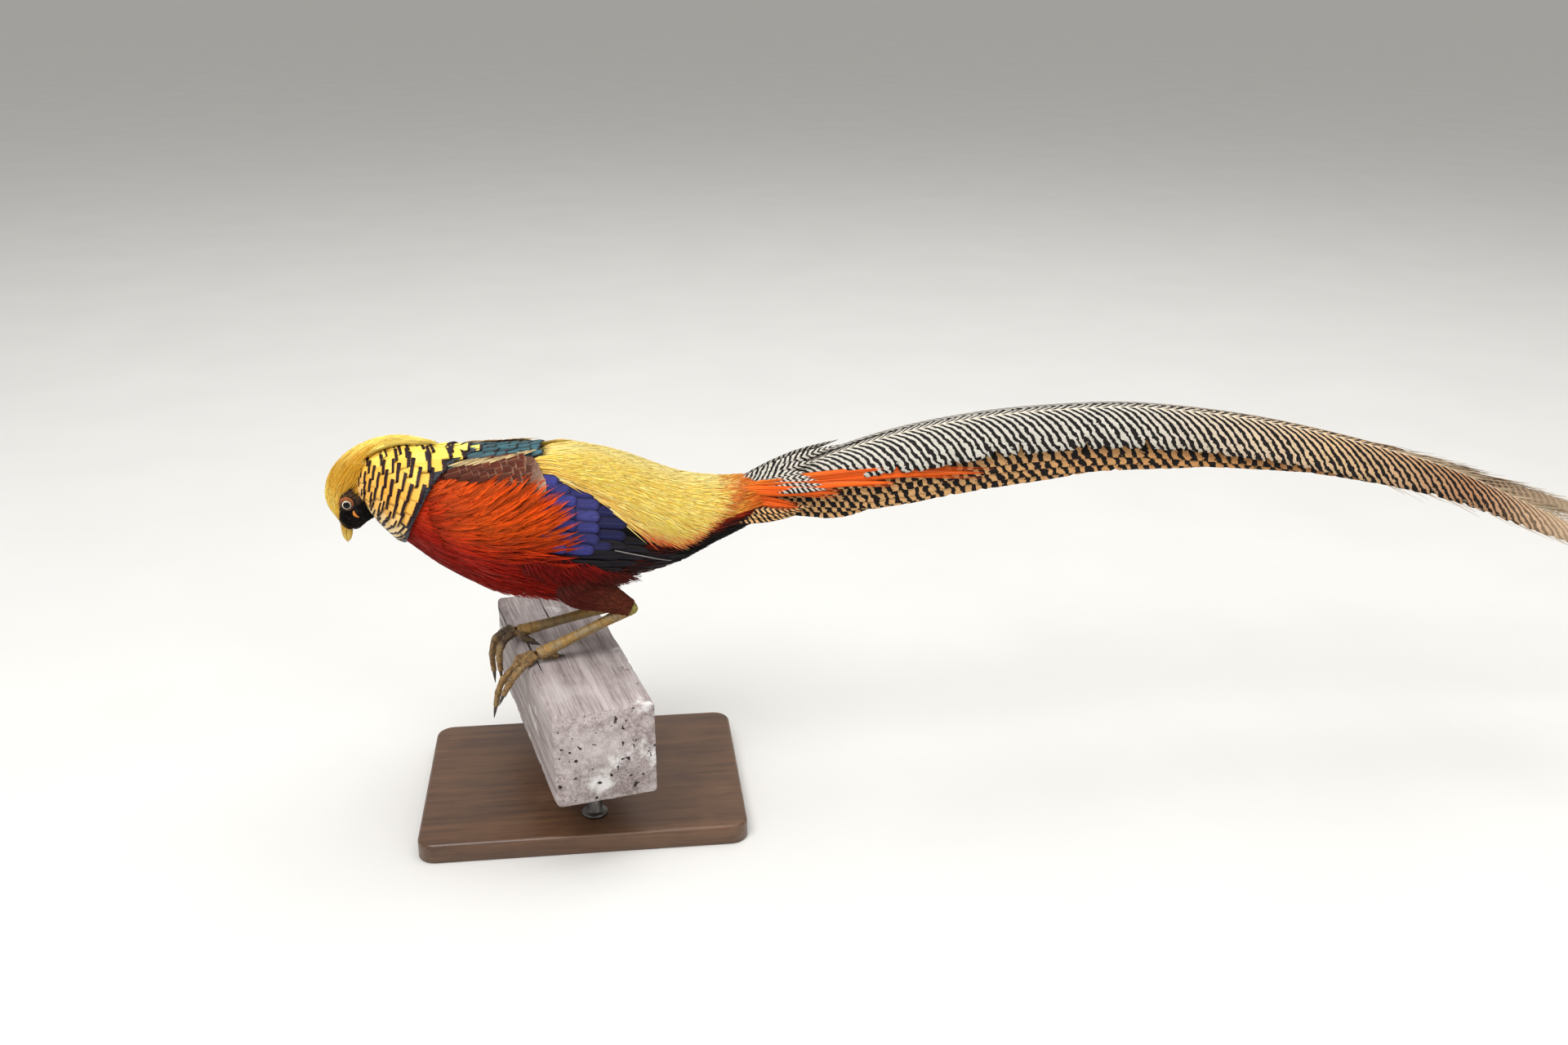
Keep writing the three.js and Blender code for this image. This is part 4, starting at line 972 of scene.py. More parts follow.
def lids(side):
    """The ring of wrinkled lids round an eye, and the small bright lappet under it."""
    turn, around = np.append(turns(64), 0)[:, None], turns(14)
    folds = 1 + 0.26 * np.sin(turn * 13) + 0.2 * np.sin(turn * 29 + 1)
    lean = 0.45 * np.cos(turn - 1.9)
    off = 4.6 + lean + (1.15 + lean) * np.cos(around)
    rise = (0.85 + 0.12 * np.sin(off * 9)) * np.sin(around) * folds
    x, z = EYE["x"] + off * np.cos(turn), EYE["z"] + off * np.sin(turn)
    mid, deep, wide = columns(head_at(z))
    level = wide * np.sqrt(np.maximum(1 - ((x - mid) / deep) ** 2, 0)) - 0.35
    upper = np.clip(np.sin(turn), -0.3, 1)
    # Painted shade: where a fold sinks the lid is darkened, as shade in the wrinkles; the upper lid's warmer
    # orange-brown is its own colour.
    tint = blend(paint(70, 36, 18), paint(176, 98, 44), (upper + 0.3) / 1.3) * (0.55 + 0.45 * folds)
    rings = stacked(x, side * (level + rise), z)[:, ::side]
    lump = limb([(EYE["x"] + 4.6, side * 14.9, EYE["z"] - 4.4), (EYE["x"] + 5.2, side * 15.0, EYE["z"] - 7.2),
                 (EYE["x"] + 7.8, side * 14.2, EYE["z"] - 9.8)], [0.5, 1.15, 0.45], 12, 14)
    made = Solid().add(rings[None], None, tint[None, :, None])
    return made.add(lump, None, paint(228, 136, 40)).mesh("lids")


def build_eyes():
    polar = np.radians(np.concatenate([np.linspace(1, 60, 40), np.linspace(66, 178, 16)]))[:, None]
    around = turns(48)
    bulge = EYE["radius"] + 0.35 * np.exp(-(polar / 0.55) ** 2)
    off = bulge * np.sin(polar)
    place = stacked(around, np.where(polar < 1.6, off, 9), 0.0)
    for name, side in SIDES.items():
        y = side * (EYE["y"] - 0.1 + bulge * np.cos(polar))
        rings = stacked(EYE["x"] + off * np.cos(around), y, EYE["z"] + off * np.sin(around))
        ball = Solid().add(rings[None, :, ::side], place[None, :, ::side])
        piece(f"eyeball_{name}", ball, "eye_glass", "eye_glass", f"eye_{name}")


def build_bill():
    t = np.linspace(0, 1, 36)[:, None]
    around = np.linspace(0, np.pi, 28)
    for upper in (True, False):
        reach = t * (1 if upper else 0.93)
        z = blend(BILL["root"] + 1.5, BILL["tip"], reach)
        culmen = blend(BILL["culmen"], BILL["tip_x"], reach**6)
        under = blend(BILL["gape"], BILL["tip_x"] + (0 if upper else 0.8), reach**5)
        share = np.interp(reach, [0, 0.15, 0.35, 0.55, 0.77, 0.93, 1], [1, 0.9, 0.68, 0.5, 0.44, 0.5, 0.8])
        parting = blend(culmen, under, share)
        start = culmen if upper else parting + 0.06
        end = np.maximum(parting, culmen + 0.7) if upper else np.maximum(under, parting + 0.7)
        half = BILL["half"] * (1 - 0.86 * reach**3.2) * (1 if upper else 0.92)
        arch = (end - start) * np.sin(around) ** 0.85
        x = end - arch if upper else start + arch
        y = half * np.cos(around) * (0.93 + 0.07 * np.sin(around))
        if upper:
            nostril = np.exp(-(((z - 239) / 2.0) ** 2 + ((x + 168.4) / 0.9) ** 2))
            lip = np.exp(-(((z - 241.5) / 1.6) ** 2 + ((x + 167.6) / 1.2) ** 2))
            y = y * (1 - 0.22 * nostril)
            y += np.sign(y) * 0.35 * lip
        way = -1 if upper else 1
        name = "bill_upper" if upper else "bill_lower"
        horn = Solid().add(stacked(x, y, z)[None, :, ::way], stacked(t, np.cos(around), 0.0)[None, :, ::way])
        piece(f"{name}_horn", horn, "bill_horn", "bill_horn", name)


def leg_paths(leg):
    """Centre lines of one leg as (points, radii, how much it is a toe)."""
    _, knee, hock, ankle = joints(leg)
    way = unit(ankle - hock)
    shank = [hock + way * run for run in (-5, -1.5, 6)]
    shank += [blend(hock, ankle, t) for t in (0.3, 0.62, 0.86)] + [ankle]
    paths = [(shank, [3.0, 4.8, 4.7, 4.1, 4.0, 4.7, 5.2], 0.0),
             ([blend(hock, knee, 0.32), blend(hock, knee, 0.16), hock], [4.2, 4.4, 4.9], 0.0)]
    for toe in leg["toes"]:
        toe = np.array(toe, float)
        paths.append(([blend(ankle, toe[0], 0.3), *toe], np.linspace(3.3, 2.4, len(toe) + 1), 1.0))
    return paths


def build_legs():
    for name, leg in LEGS.items():
        raw, lines = Solid(), []
        for points, radii, toe in leg_paths(leg):
            tube = limb(points, radii, 20, 60)[0]
            centre = tube.mean(1)
            gone, knots = run_length(centre), run_length(np.array(points))[1:-1]
            pads = 0.92 + toe * 0.2 * np.exp(-((gone[:, None] - knots) / 2.0) ** 2).sum(1) + 0.08 * (1 - toe)
            plates = 1 + (0.03 + 0.04 * toe) * np.sin(gone * 2 * np.pi / 2.2)
            muddy = toe * (1 + (leg["side"] == RIGHT) * np.exp(-((gone - 9) / 7) ** 2))
            raw.add((centre[:, None] + (tube - centre[:, None]) * (pads * plates)[:, None, None])[None])
            lines.append(np.column_stack([centre, gone, muddy, unit(np.gradient(centre, axis=0))]))
        mesh = grown_together(raw, 0.00062, 2)
        points, line, place = points_of(mesh), np.concatenate(lines), []
        for some in np.split(points, range(4000, len(points), 4000)):
            hit = line[((some[:, None] - line[None, :, :3]) ** 2).sum(-1).argmin(1)]
            off, along = unit(some - hit[:, :3]), hit[:, 5:8]
            front = unit(np.cross(along, np.cross(np.array([-0.35, 0, 0.94]), along)))
            place.append(np.stack([hit[:, 3], (off * front).sum(1), hit[:, 4]], 1))
        keep_values(mesh, np.concatenate(place), np.zeros_like(points))
        mesh.shade_smooth()
        piece(f"leg_skin_{name}", mesh, "leg_scales", "leg_scales", f"shank_{name}", f"foot_{name}")
        for k, toe in enumerate(leg["toes"]):
            build_claw(f"claw_{name}_{k + 1}", np.array(toe, float), CLAW_LENGTH[k])


def build_claw(node, toe, length):
    """A horn that bends down from the end of a toe, its root sunk in the toe."""
    sunk, stations = 2.2, 22
    way = unit(toe[-1] - toe[-2])
    bend = unit(way + [0, 0, -0.55])
    path = [toe[-1] - way * sunk]
    for i in range(6):
        ahead = way if abs(way[2]) < 0.4 else unit(blend(way, bend, i / 6))
        path.append(path[-1] + ahead * (length + sunk) / 6)
    tube = limb(path, [1.5, 1.5, 1.38, 1.16, 0.86, 0.52, 0.14], 14, stations)
    place = stacked(np.linspace(0, 1, stations), 0.0, 0.0)[None, :, None]
    piece(f"{node}_horn", Solid().add(tube, place), "claw_horn", "claw_horn", node)


# Coat

def build_crest():
    silk = Solid()
    for low, high, count in ((0.0, 0.1, 1000), (0.0, 0.62, 4700), (0.5, 0.8, 1300)):
        share, turn = spread(low, high, count), spread(-1, 1, count)
        reach = crest_size(share)[:, 2]
        end = np.minimum(share + spread(0.14, 0.26, count), 1.0 - spread(0, 0.09, count))
        end_turn = turn * np.minimum(crest_size(end)[:, 2], reach + 8)
        tint = shades(share + spread(-0.1, 0.1, count),
                      (0, PALE_GOLD), (0.1, GOLD), (0.28, OCHRE), (0.42, GOLD), (0.66, PALE_GOLD))
        # Painted highlight: the top of the crest is paler gold, as where the light from above falls on it.
        top = smooth(np.abs(turn), 0.8, 0.2) * smooth(share, 0.15, 0.45)
        tint = over(tint, PALE_GOLD * 1.1, top * 0.9) * spread(0.88, 1.1, count, 1)
        rise = spread(-2.0, 0.2, count)
        settle = -2.2 * smooth(end, 0.72, 1.0) - 1.8 * smooth(np.abs(turn), 0.6, 1) * smooth(share, 0.36, 0.5)
        silk.lay(crest, (share, turn * reach), (end, end_turn), (rise - 0.4, rise + 0.4 + settle),
                 spread(0.26, 0.5, count), SILK_END, (tint * 0.95, tint * 1.06), thick=0.2,
                 curl=spread(-1.2, 1.2, count))
    piece("crest_filaments", silk, "crest_silk", "plumage_crest", "head")


def build_nape():
    """Gold filaments behind the face, between the hood and the cape."""
    nape = Solid()
    for side in SIDES.values():
        x, z = spread(-166, -112, 3600), spread(262, 304, 3600)
        kept = (above_face(x, z) > -0.5) & (z < np.interp(x, [-166, -150, -130, -112], [276, 297, 305, 306]))
        x, z = x[kept][:1700], z[kept][:1700]
        mid, high, _ = trunk_at(x).T
        angle = np.degrees(np.arccos(np.clip((z - mid) / high, -0.99, 0.99)))
        ahead = x < cape_edge(angle, last=False) - blend(-2, 6, smooth(angle, 20, 60))
        x, z, angle = x[ahead], z[ahead], angle[ahead]
        count, skull = len(x), x < -146
        mid, deep, _ = head_at(z).T
        turn = np.degrees(np.arccos(np.clip((mid - x) / deep, -0.98, 0.98)))
        tint = shades(z - 0.5 * x, (345, OCHRE), (362, GOLD), (378, PALE_GOLD)) * spread(0.85, 1.1, count, 1)
        for on, here, *ways in (
                (head, skull, (z, turn), (np.minimum(z + 12, 290), turn + 12)),
                (trunk, ~skull, (x, angle), (x + spread(8, 12, count), angle - spread(4, 9, count)))):
            start, end = ([value[here] for value in way] for way in ways)
            nape.lay(on, start, end, (0.5, spread(2.6, 3.8, here.sum())), spread(0.3, 0.5, here.sum()),
                     SILK_END, (tint[here] * 0.95, tint[here] * 1.05), side, thick=0.2)
    piece("nape_filaments", nape, "crest_silk", "plumage_crest", "head", "neck")


def build_face():
    """Short dark feathers over the cheeks and throat, from the bill backwards."""
    face, count = Solid(), 9500
    z, turn = spread(237, 280, count), spread(-178, 178, count)
    x, _, height = head(z, turn)[0].T
    from_eye = np.hypot(x - EYE["x"], height - EYE["z"])
    from_lappet = np.hypot(x - EYE["x"] - 5.4, (height - EYE["z"] + 7) * 0.8)
    off = np.abs(turn)
    bill_root = ((off < 42) & (z < 251)) | ((off < 24) & (z > 246))
    clear = (from_eye > 6.2) & ~bill_root & (from_lappet > 2.4) & (above_face(x, height) < 1.5)
    z, turn, off, from_eye = z[clear], turn[clear], off[clear], from_eye[clear]
    count = len(z)
    length = spread(2.4, 4.2, count) * np.clip((z - 226) / 30, 0.5, 1.2) * blend(0.5, 1, smooth(off, 30, 70))
    half_way = np.sign(turn) * np.degrees(length * 0.75 / 16)
    brown = smooth(from_eye, 13, 7) * smooth(z, 257, 264)
    tint = over(BLACK, paint(132, 104, 78), brown * spread(0.3, 1, count))
    tint = over(tint, paint(70, 48, 36), (spread(0, 1, count) < 0.12) * 0.6) * spread(0.6, 1.5, count, 1)
    rise = spread(-0.5, 0.0, count)
    face.lay(head, (z, turn), (z + length * 0.75, turn + half_way), (rise, rise + spread(0.5, 1.0, count)),
             spread(0.18, 0.34, count), DOWN_END, (tint * 0.7, tint), thick=0.3)
    piece("face_feathers", face, "hair_feathers", "plumage_crest", "head")


def build_cape():
    """Rows of broad barred feathers round the neck, and the dark rim under the last of them."""
    cape, rows, whole = Solid(), 10, 304
    for row in range(rows):
        share, last_row = row / (rows - 1), row == rows - 1
        count = int(blend(17, 19, share))
        angle = (np.arange(count) + (0.5 if row % 2 else 0)) / count * whole - whole / 2
        off = np.abs(angle)
        first, last = cape_edge(off, last=False), cape_edge(off)
        pitch = (last - first) / (rows - 1) * (0.66 + 0.68 * share)
        tip = blend(first, last, 0.66 * share + 0.34 * share**2) + pitch * spread(-0.07, 0.07, count)
        root = np.maximum(tip - np.maximum(pitch * 2.9, 8), -155.8)
        fan = np.sign(angle) * ((off - 60) * 0.07 - 1.2)
        arc = np.radians(whole / count) * trunk_radius(tip)
        tint = shades(off, (0, LEMON), (25, paint(250, 210, 92)), (55, paint(246, 184, 78)),
                      (95, paint(246, 184, 86)), (122, CREAM), (150, CREAM))
        tint = over(tint, CREAM, smooth(tip, -142, -150) * 0.5) * spread(0.92, 1.08, count, 1)
        cape.lay(trunk, (root, angle - fan), (tip + (1.5 if last_row else 0), angle + fan),
                 (0.0, blend(3.0, 4.4, share) - (0.9 if last_row else 0)), arc * spread(0.68, 0.8, count),
                 SQUARE_END, (tint * 0.94, tint), section=VANE, thick=0.08, camber=0.15, roll=1.5)
    piece("cape_feathers", cape, "cape_feathers", "plumage_cape", "neck")
    rim, count = Solid(), 76
    angle = np.linspace(-150, 150, count)
    last = cape_edge(np.abs(angle))
    rim.lay(trunk, (last - 9, angle * 1.03), (last + 3.2, angle * 0.99), (1.2, 3.0), 3.6,
            [0.6, 0.9, 1, 1, 0.9, 0.5],
            paint(26, 34, 44) * spread(0.5, 1.3, count, 1), section=VANE, thick=0.14, camber=0.05, roll=8)
    piece("cape_dark_rim", rim, "cape_rim_dark", "plumage_cape", "neck")


def from_tips(x, angle, length, flow):
    """Roots of feathers from their tips: flow is degrees down from straight back, at each tip."""
    back, down = length * np.cos(np.radians(flow)), length * np.sin(np.radians(flow))
    return x - back, angle - np.degrees(down / trunk_radius(x - back / 2))


def build_mantle():
    mantle = Solid()
    for row, x in enumerate(np.linspace(-61, -21, 6)):
        limit = np.interp(x, [-83, -73, -62, -44, -23], [31, 27, 24.5, 23, 15])
        count = 7 if row % 2 else 6
        angle = np.linspace(-limit, limit, count) + spread(-0.8, 0.8, count)
        tip = x + spread(-1.5, 1.5, count) + 2.5
        root = np.maximum(tip - spread(30, 36, count), -110)
        mantle.lay(trunk, (root, angle * 1.42), (tip, angle), (0.6, 3.4 + row * 0.2), spread(4.2, 5.0, count),
                   LONG_END, TEAL * spread(0.5, 0.95, count, 1), section=VANE, thick=0.16, camber=0.2)
    piece("mantle_feathers", mantle, "mantle_green", "plumage_body", "torso")


def build_shoulders():
    """The brown shoulder feathers, and the cream line above them."""
    brown = Solid()
    for side in SIDES.values():
        x, angle = sown(SHOULDER_FIELD, 20)
        order = np.argsort(-x)
        x, angle, count = x[order], angle[order], len(x)
        grown = smooth(x, -70, -30)
        root_x, root_angle = from_tips(x, angle, spread(0.9, 1.1, count) * blend(15, 25, grown),
                                       blend(-16, -4, smooth(x, -60, -20)))
        tint = over(CHESTNUT * 0.65, paint(140, 108, 90), smooth(x, -26, -17)) * spread(0.7, 1.2, count, 1)
        brown.lay(trunk, (np.maximum(root_x, -100), root_angle), (x, angle),
                  (1.0, 4.6 + 1.6 * smooth(x, -70, -15)),
                  spread(0.9, 1.1, count) * blend(4.2, 7.6, grown), ROUND_END, (tint * 0.6, tint), side,
                  bend=0.8, section=VANE, thick=0.16, camber=0.1, roll=5)
        count = 90
        x = spread(-72, -22, count)
        angle = np.interp(x, [-83, -73, -62, -44, -23], [33, 28.5, 26, 24, 16]) + spread(-1.6, 1.6, count)
        root = from_tips(x, angle, spread(12, 18, count), -18 + spread(-3, 3, count))
        cream = paint(244, 216, 160) * spread(0.8, 1.1, count, 1)
        brown.lay(trunk, root, (x, angle), (3.6, 6.0), spread(0.45, 0.8, count), [0.5, 1, 1, 0.6, 0.1],
                  (cream, cream * 0.95), side, thick=0.3)
    piece("shoulder_feathers", brown, "shoulder_brown", "plumage_body", "torso")


def breast_tint(angle, x):
    red = shades(angle, (44, BRIGHT_FLAME), (70, FLAME), (90, FLAME * 0.8), (108, SCARLET * 1.15),
                 (130, SCARLET * 0.8), (178, CRIMSON))
    red = red * blend(0.72, 1, smooth(x, -95, -50))[:, None]
    return over(red, MAROON, smooth(x, -5, 40) * smooth(angle, 100, 125))


def breast_flow(angle):
    """How far the red feathers slant down from straight back: up towards the back, level below."""
    return np.interp(angle, [42, 60, 80, 100, 120, 180], [-34, -27, -14, -3, 2, 0])


def lock_share(x, angle):
    """How far the long locks have taken over from the plain breast, 0 to 1."""
    return smooth(x, -90, -44) * smooth(angle, 124, 104)


def build_breast():
    for name, side in SIDES.items():
        hair = Solid()
        x, angle = scattered(RED_FIELD, 4500)
        count = len(x)
        length = spread(17, 30, count)
        flow = breast_flow(angle) + spread(-5, 5, count)
        root_x, root_angle = from_tips(x, angle, length, flow * 0.7)
        tint = breast_tint(angle, x) * spread(0.6, 1.25, count, 1)
        # Painted shade: the hairs beneath the long locks are darkened, as the shadow the locks cast on them.
        tint *= (1 - 0.72 * lock_share(x, angle))[:, None]
        # Painted sheen: a few hairs low on the breast get pale pinkish tips as highlights.
        painted_sheen = smooth(angle, 110, 128) * smooth(x, -20, -70) * (spread(0, 1, count) < 0.12)
        tip = over(tint * blend(1.45, 1.15, smooth(angle, 80, 140))[:, None], paint(196, 92, 84), painted_sheen * 0.7)
        lift = blend(0.8, 3.0, smooth(x, -100, -30)) + 5 * smooth(angle, 116, 150) * smooth(x, -100, -40)
        lift *= spread(0.5, 1.2, count)
        hair.lay(trunk, (np.maximum(root_x, -152), root_angle), (x, angle), (-0.3, lift),
                 spread(0.45, 0.85, count), HAIR_END, (tint * 0.7, tip), side, thick=0.35,
                 curl=np.interp(angle, [42, 90, 110], [-5, -2, 0]))
        piece(f"breast_hair_{name}", hair, "hair_feathers", "plumage_body", "torso")


def build_fringe():
    """Long pointed locks, each a sheaf of strands that come together, from the breast over the wing."""
    locks = Solid()
    for side in SIDES.values():
        x, angle = sown(LOCK_FIELD, 150)
        count, grown = len(x), lock_share(x, angle)
        length = blend(15, spread(25, 38, count), grown)
        flow = breast_flow(angle) + spread(-6, 6, count)
        root_x, root_angle = from_tips(x, angle, length, flow * 0.75)
        bow = np.interp(angle, [42, 80, 105, 126], [-6, -5, -2, 1]) + spread(-1.5, 1.5, count)
        tint = shades(angle, (44, BRIGHT_FLAME * 1.15), (84, BRIGHT_FLAME), (104, FLAME), (122, SCARLET))
        tint = over(breast_tint(angle, x), tint, grown) * spread(0.6, 1.2, count, 1)
        height = blend(2.0, blend(4.6, 8.2, smooth(x, -60, 0)), grown) * spread(0.7, 1.15, count)
        for strand in range(11):
            shift = (strand - 5) / 5 + spread(-0.12, 0.12, count)
            off = np.abs(shift)
            back = 0.42 * off * spread(0.6, 1.1, count)
            end = (blend(x, root_x, back), blend(angle, root_angle, back) + shift * 0.4)
            start = (root_x + spread(-3, 4, count), root_angle + shift * blend(2, 3.2, grown))
            # Painted shade and highlight: the outer strands and the roots of each lock are darkened as the
            # shade between the locks, and the tips are brightened as highlights.
            shade = tint * (1 - 0.3 * off)[:, None] * spread(0.85, 1.15, count, 1)
            locks.lay(trunk, start, end, (1.2, height - 0.8 * off), spread(0.32, 0.5, count),
                      [0.5, 1, 1, 0.8, 0.5, 0.05], (shade * blend(0.9, 0.22, grown)[:, None], shade * 1.2),
                      side, bend=0.8, thick=0.3, curl=bow)
    piece("breast_fringe", locks, "hair_feathers", "plumage_body", "torso")


def build_wings():
    # Rows from the underside up: how long, half width, rise at the root and tip, colour, shape, and each tip.
    rows = [
        (74, 5.4, 0.8, 2.6, SOOT * 0.7, LONG_END,
         [(52, 151), (62, 150), (70, 147), (77, 142), (84, 137), (80, 131), (73, 125), (66, 119), (60, 113)]),
        (62, 5.8, 1.2, 3.8, SOOT, LONG_END,
         [(26, 130), (38, 129), (47, 124), (54, 117), (57, 109), (55, 100)]),
        (50, 6.2, 1.4, 4.4, SOOT * 1.3, LONG_END, [(16, 121), (27, 117), (36, 110), (41, 101)]),
        (46, 5.6, 1.6, 4.8, BLUE * 0.45, ROUND_END, [(30, 99), (41, 91), (40, 80), (36, 70)]),
        (38, 5.6, 2.0, 5.4, BLUE, ROUND_END,
         [(17, 99), (20, 91), (21.5, 82), (21.5, 73), (20, 64), (17, 55.5), (13, 48)]),
        (32, 5.4, 2.2, 5.8, BLUE * 1.15, ROUND_END,
         [(-4, 96), (2, 88), (5, 79), (6, 70), (4, 61), (0, 53), (-6, 46)]),
    ]
    t = np.linspace(0, 1, 12)
    quill = along_path([[31, 102], [42, 107.5], [56, 115.5], [73, 129]])(t)
    quill_half = np.interp(t, [0, 0.2, 0.7, 1], [0.35, 0.5, 0.45, 0.15])
    for name, side in SIDES.items():
        wing = Solid()
        for length, half, low, high, colour, shape, tips in rows:
            x, angle = np.array(tips, float).T
            count = len(x)
            x = x + spread(-1.5, 1.5, count)
            lean = np.interp(angle, [50, 80, 110, 150], [2, 5, 9, 15])
            root = from_tips(x, angle, length * spread(0.96, 1.04, count), lean)
            tint = blend(colour, colour * [0.8, 0.85, 1.15], spread(0, 1, count, 1))
            tint *= spread(0.7, 1.2, count, 1)
            wing.lay(trunk, root, (x, angle), (low, high), half, shape, (tint * 0.8, tint * 1.1), side,
                     section=VANE, thick=0.18, camber=0.08, roll=8)
        line, out = trunk(quill[:, 0], side * quill[:, 1], 5.4)
        rib = strips(line[None], out[None], quill_half[None], STRAND, 0.6)
        wing.add(rib, [2.0, 0.0, 1.0], paint(240, 232, 214), unroll(trunk, 40, side * 110))
        piece(f"wing_feathers_{name}", wing, "wing_blue", "plumage_wing", f"wing_{name}")


def build_rump():
    for name, side in SIDES.items():
        rump, count = Solid(), 9000
        x = spread(-30, 124, count)
        front = np.interp(x, [-30, -24, -16, -8, 4, 16, 30, 45, 62, 100, 124],
                          [24, 36, 41, 44, 49, 57, 70, 81, 92, 88, 66])
        off = spread(0, 1, count) ** 0.9
        angle = off * front
        flow = np.radians(angle * 0.47 + spread(-5, 5, count))
        length = blend(24, 31, off) * spread(0.8, 1.15, count)
        tip_x = np.minimum(x + length * np.cos(flow), 141)
        tip_angle = angle + np.degrees(length * np.sin(flow) / trunk_radius((x + tip_x) / 2))
        inner = rump_edge(tip_x) + spread(-4, 4, count) - tip_angle
        kept = (inner > 0) & ((x > -19) | (angle > 19)) & (spread(0, 1, count) < 0.8)
        x, tip_x, angle, tip_angle, off, inner = (v[kept] for v in (x, tip_x, angle, tip_angle, off, inner))
        count = len(x)
        # Painted highlight: the pale straw at the top of the back stands for the light from above; lower down
        # the strands take their own lemon and gold.
        tint = shades(off, (0, STRAW), (0.35, LEMON), (0.8, paint(252, 222, 92)), (1, paint(246, 200, 92)))
        tint = over(tint, STRAW * 1.1, (spread(0, 1, count) < 0.3) * 0.7) * spread(0.9, 1.08, count, 1)
        fiery = smooth(inner, 15, 3) * smooth(tip_x, 24, 44) * (spread(0, 1, count) < 0.8)
        late = smooth(tip_x + spread(-9, 9, count), 118, 130)
        # Painted shade: the roots are blended to the warm orange that the shade between the strands takes.
        root = blend(tint, paint(246, 178, 50), 0.45)
        root = over(root, BRIGHT_FLAME * 0.8, fiery * smooth(inner, 6, 2))
        tip = over(tint * 1.1, BRIGHT_FLAME, np.maximum(fiery, late))
        brownish = smooth(inner, 12, 3) * smooth(tip_x, 46, 30) * (spread(0, 1, count) < 0.55)
        tip = over(tip, paint(120, 74, 40), brownish * 0.8)
        rise = np.interp(x, [-21, 40, 90, 124], [7.6, 7.6, 5.6, 3.4])
        lift = blend(3.4, rise, np.minimum(1, off * 1.4)) * spread(0.88, 1.03, count)
        rump.lay(trunk, (x, angle), (tip_x, tip_angle), (-0.2, lift), spread(0.42, 0.78, count),
                 [0.5, 1, 1, 0.6, 0.05], (root, tip), side, bend=1.2, thick=0.13, curl=spread(-2, 4, count))
        piece(f"rump_hair_{name}", rump, "rump_hair", "plumage_rump", "rump")


def build_under_tail():
    dark, count = Solid(), 1500
    for side in SIDES.values():
        x = spread(10, 140, count)
        angle = blend(np.interp(x, [10, 60, 100, 140], [104, 104, 92, 84]), 180, spread(0, 1, count))
        length = spread(14, 24, count) * np.interp(x, [10, 110, 140], [1, 0.9, 0.45])
        tint = shades(angle + spread(-8, 8, count), (90, FLAME * 0.8), (104, MAROON * 1.6), (122, BLACK),
                      (180, BLACK))
        tint = over(tint, MAROON * 1.3, smooth(x, 60, 20)) * spread(0.6, 1.3, count, 1)
        dark.lay(trunk, (x, angle), (x + length, angle + spread(-3, 5, count)),
                 (-0.2, spread(1.6, 3.4, count)),
                 spread(0.6, 1.1, count), HAIR_END, (tint * 0.8, tint), side, thick=0.4)
    piece("under_tail_feathers", dark, "hair_feathers", "plumage_rump", "rump")


def thigh_surface(leg):
    """The thigh of a leg: share down it, and degrees round it."""
    hip, knee, hock, _ = joints(leg)
    path = [hip, knee, *[blend(knee, hock, t) for t in (0.45, 0.78, 0.99)]]
    line = along_path(path, [18.4, 17, 11.8, 7.8, 5.7])

    def at(share, turn, rise=0.0):
        share, turn, rise = np.broadcast_arrays(share, turn, rise)
        middle, radius = line(share)[..., :3], line(share)[..., 3:]
        way = unit((line(np.minimum(share + 0.01, 1)) - line(np.maximum(share - 0.01, 0)))[..., :3])
        across = unit(np.cross(way, np.array([0.0, 1.0, 0.0])))
        turn = np.radians(turn)[..., None]
        place = middle + radius * (np.cos(turn) * across + np.sin(turn) * np.cross(way, across))
        out = unit(place - middle)
        return place + out * rise[..., None], out
    return at


def build_thighs():
    for name, leg in LEGS.items():
        down, count = Solid(), 3600
        share, turn = spread(0.05, 0.93, count), spread(0, 360, count)
        length = blend(0.24, 0.12, share) * spread(0.8, 1.2, count)
        tint = over(MAROON * 1.15, paint(98, 44, 26), smooth(share, 0.2, 0.7)) * spread(0.6, 1.3, count, 1)
        down.lay(thigh_surface(leg), (share, turn),
                 (np.minimum(share + length, 1.0), turn + spread(-6, 6, count)),
                 (-0.5, spread(0.4, 1.2, count)), blend(0.9, 0.42, share), DOWN_END,
                 (tint * 0.75, tint * 1.1), thick=0.35)
        count = 700
        x = spread(-38, 34, count)
        angle = np.interp(x, [-38, 0, 34], [100, 108, 134]) + spread(-6, 10, count)
        low = angle + spread(12, 22, count)
        tint = over(CRIMSON, MAROON * 1.2, smooth(low, 118, 142)) * spread(0.6, 1.3, count, 1)
        down.lay(trunk, (x, angle), (x + spread(6, 18, count), low), (1.0, spread(5.5, 9, count)),
                 spread(0.45, 0.8, count), [0.6, 1, 0.9, 0.5, 0.05], (tint * 0.7, tint * 1.2), leg["side"],
                 thick=0.35)
        piece(f"thigh_feathers_{name}", down, "hair_feathers", "plumage_thigh", f"thigh_{name}")


# Tail

def shaft_at(x, pair, side):
    """Where the shaft of a tail feather runs; pair 0 is the long middle one."""
    ridge = ridge_at(x)[..., 0]
    opened = np.clip((x - TAIL_ROOT) / 90, 0, 1) ** 0.8
    if pair == 0:
        parted = smooth(x, 680, TAIL_TIP)
        lower = 15 * parted if side == LEFT else 0
        return stacked(x, side * (blend(4, 7, opened) + 16 * parted), ridge - 1 - lower)
    raised = (7 * smooth(x, 190, 240) if pair > 4 else 0) - 1
    below = (blend(2, 12, opened) + pair * blend(2, 5.9, opened)) * (1 - 0.4 * smooth(x, 430, 700))
    return stacked(x, side * blend(4, 8.5, opened), ridge + raised - below)


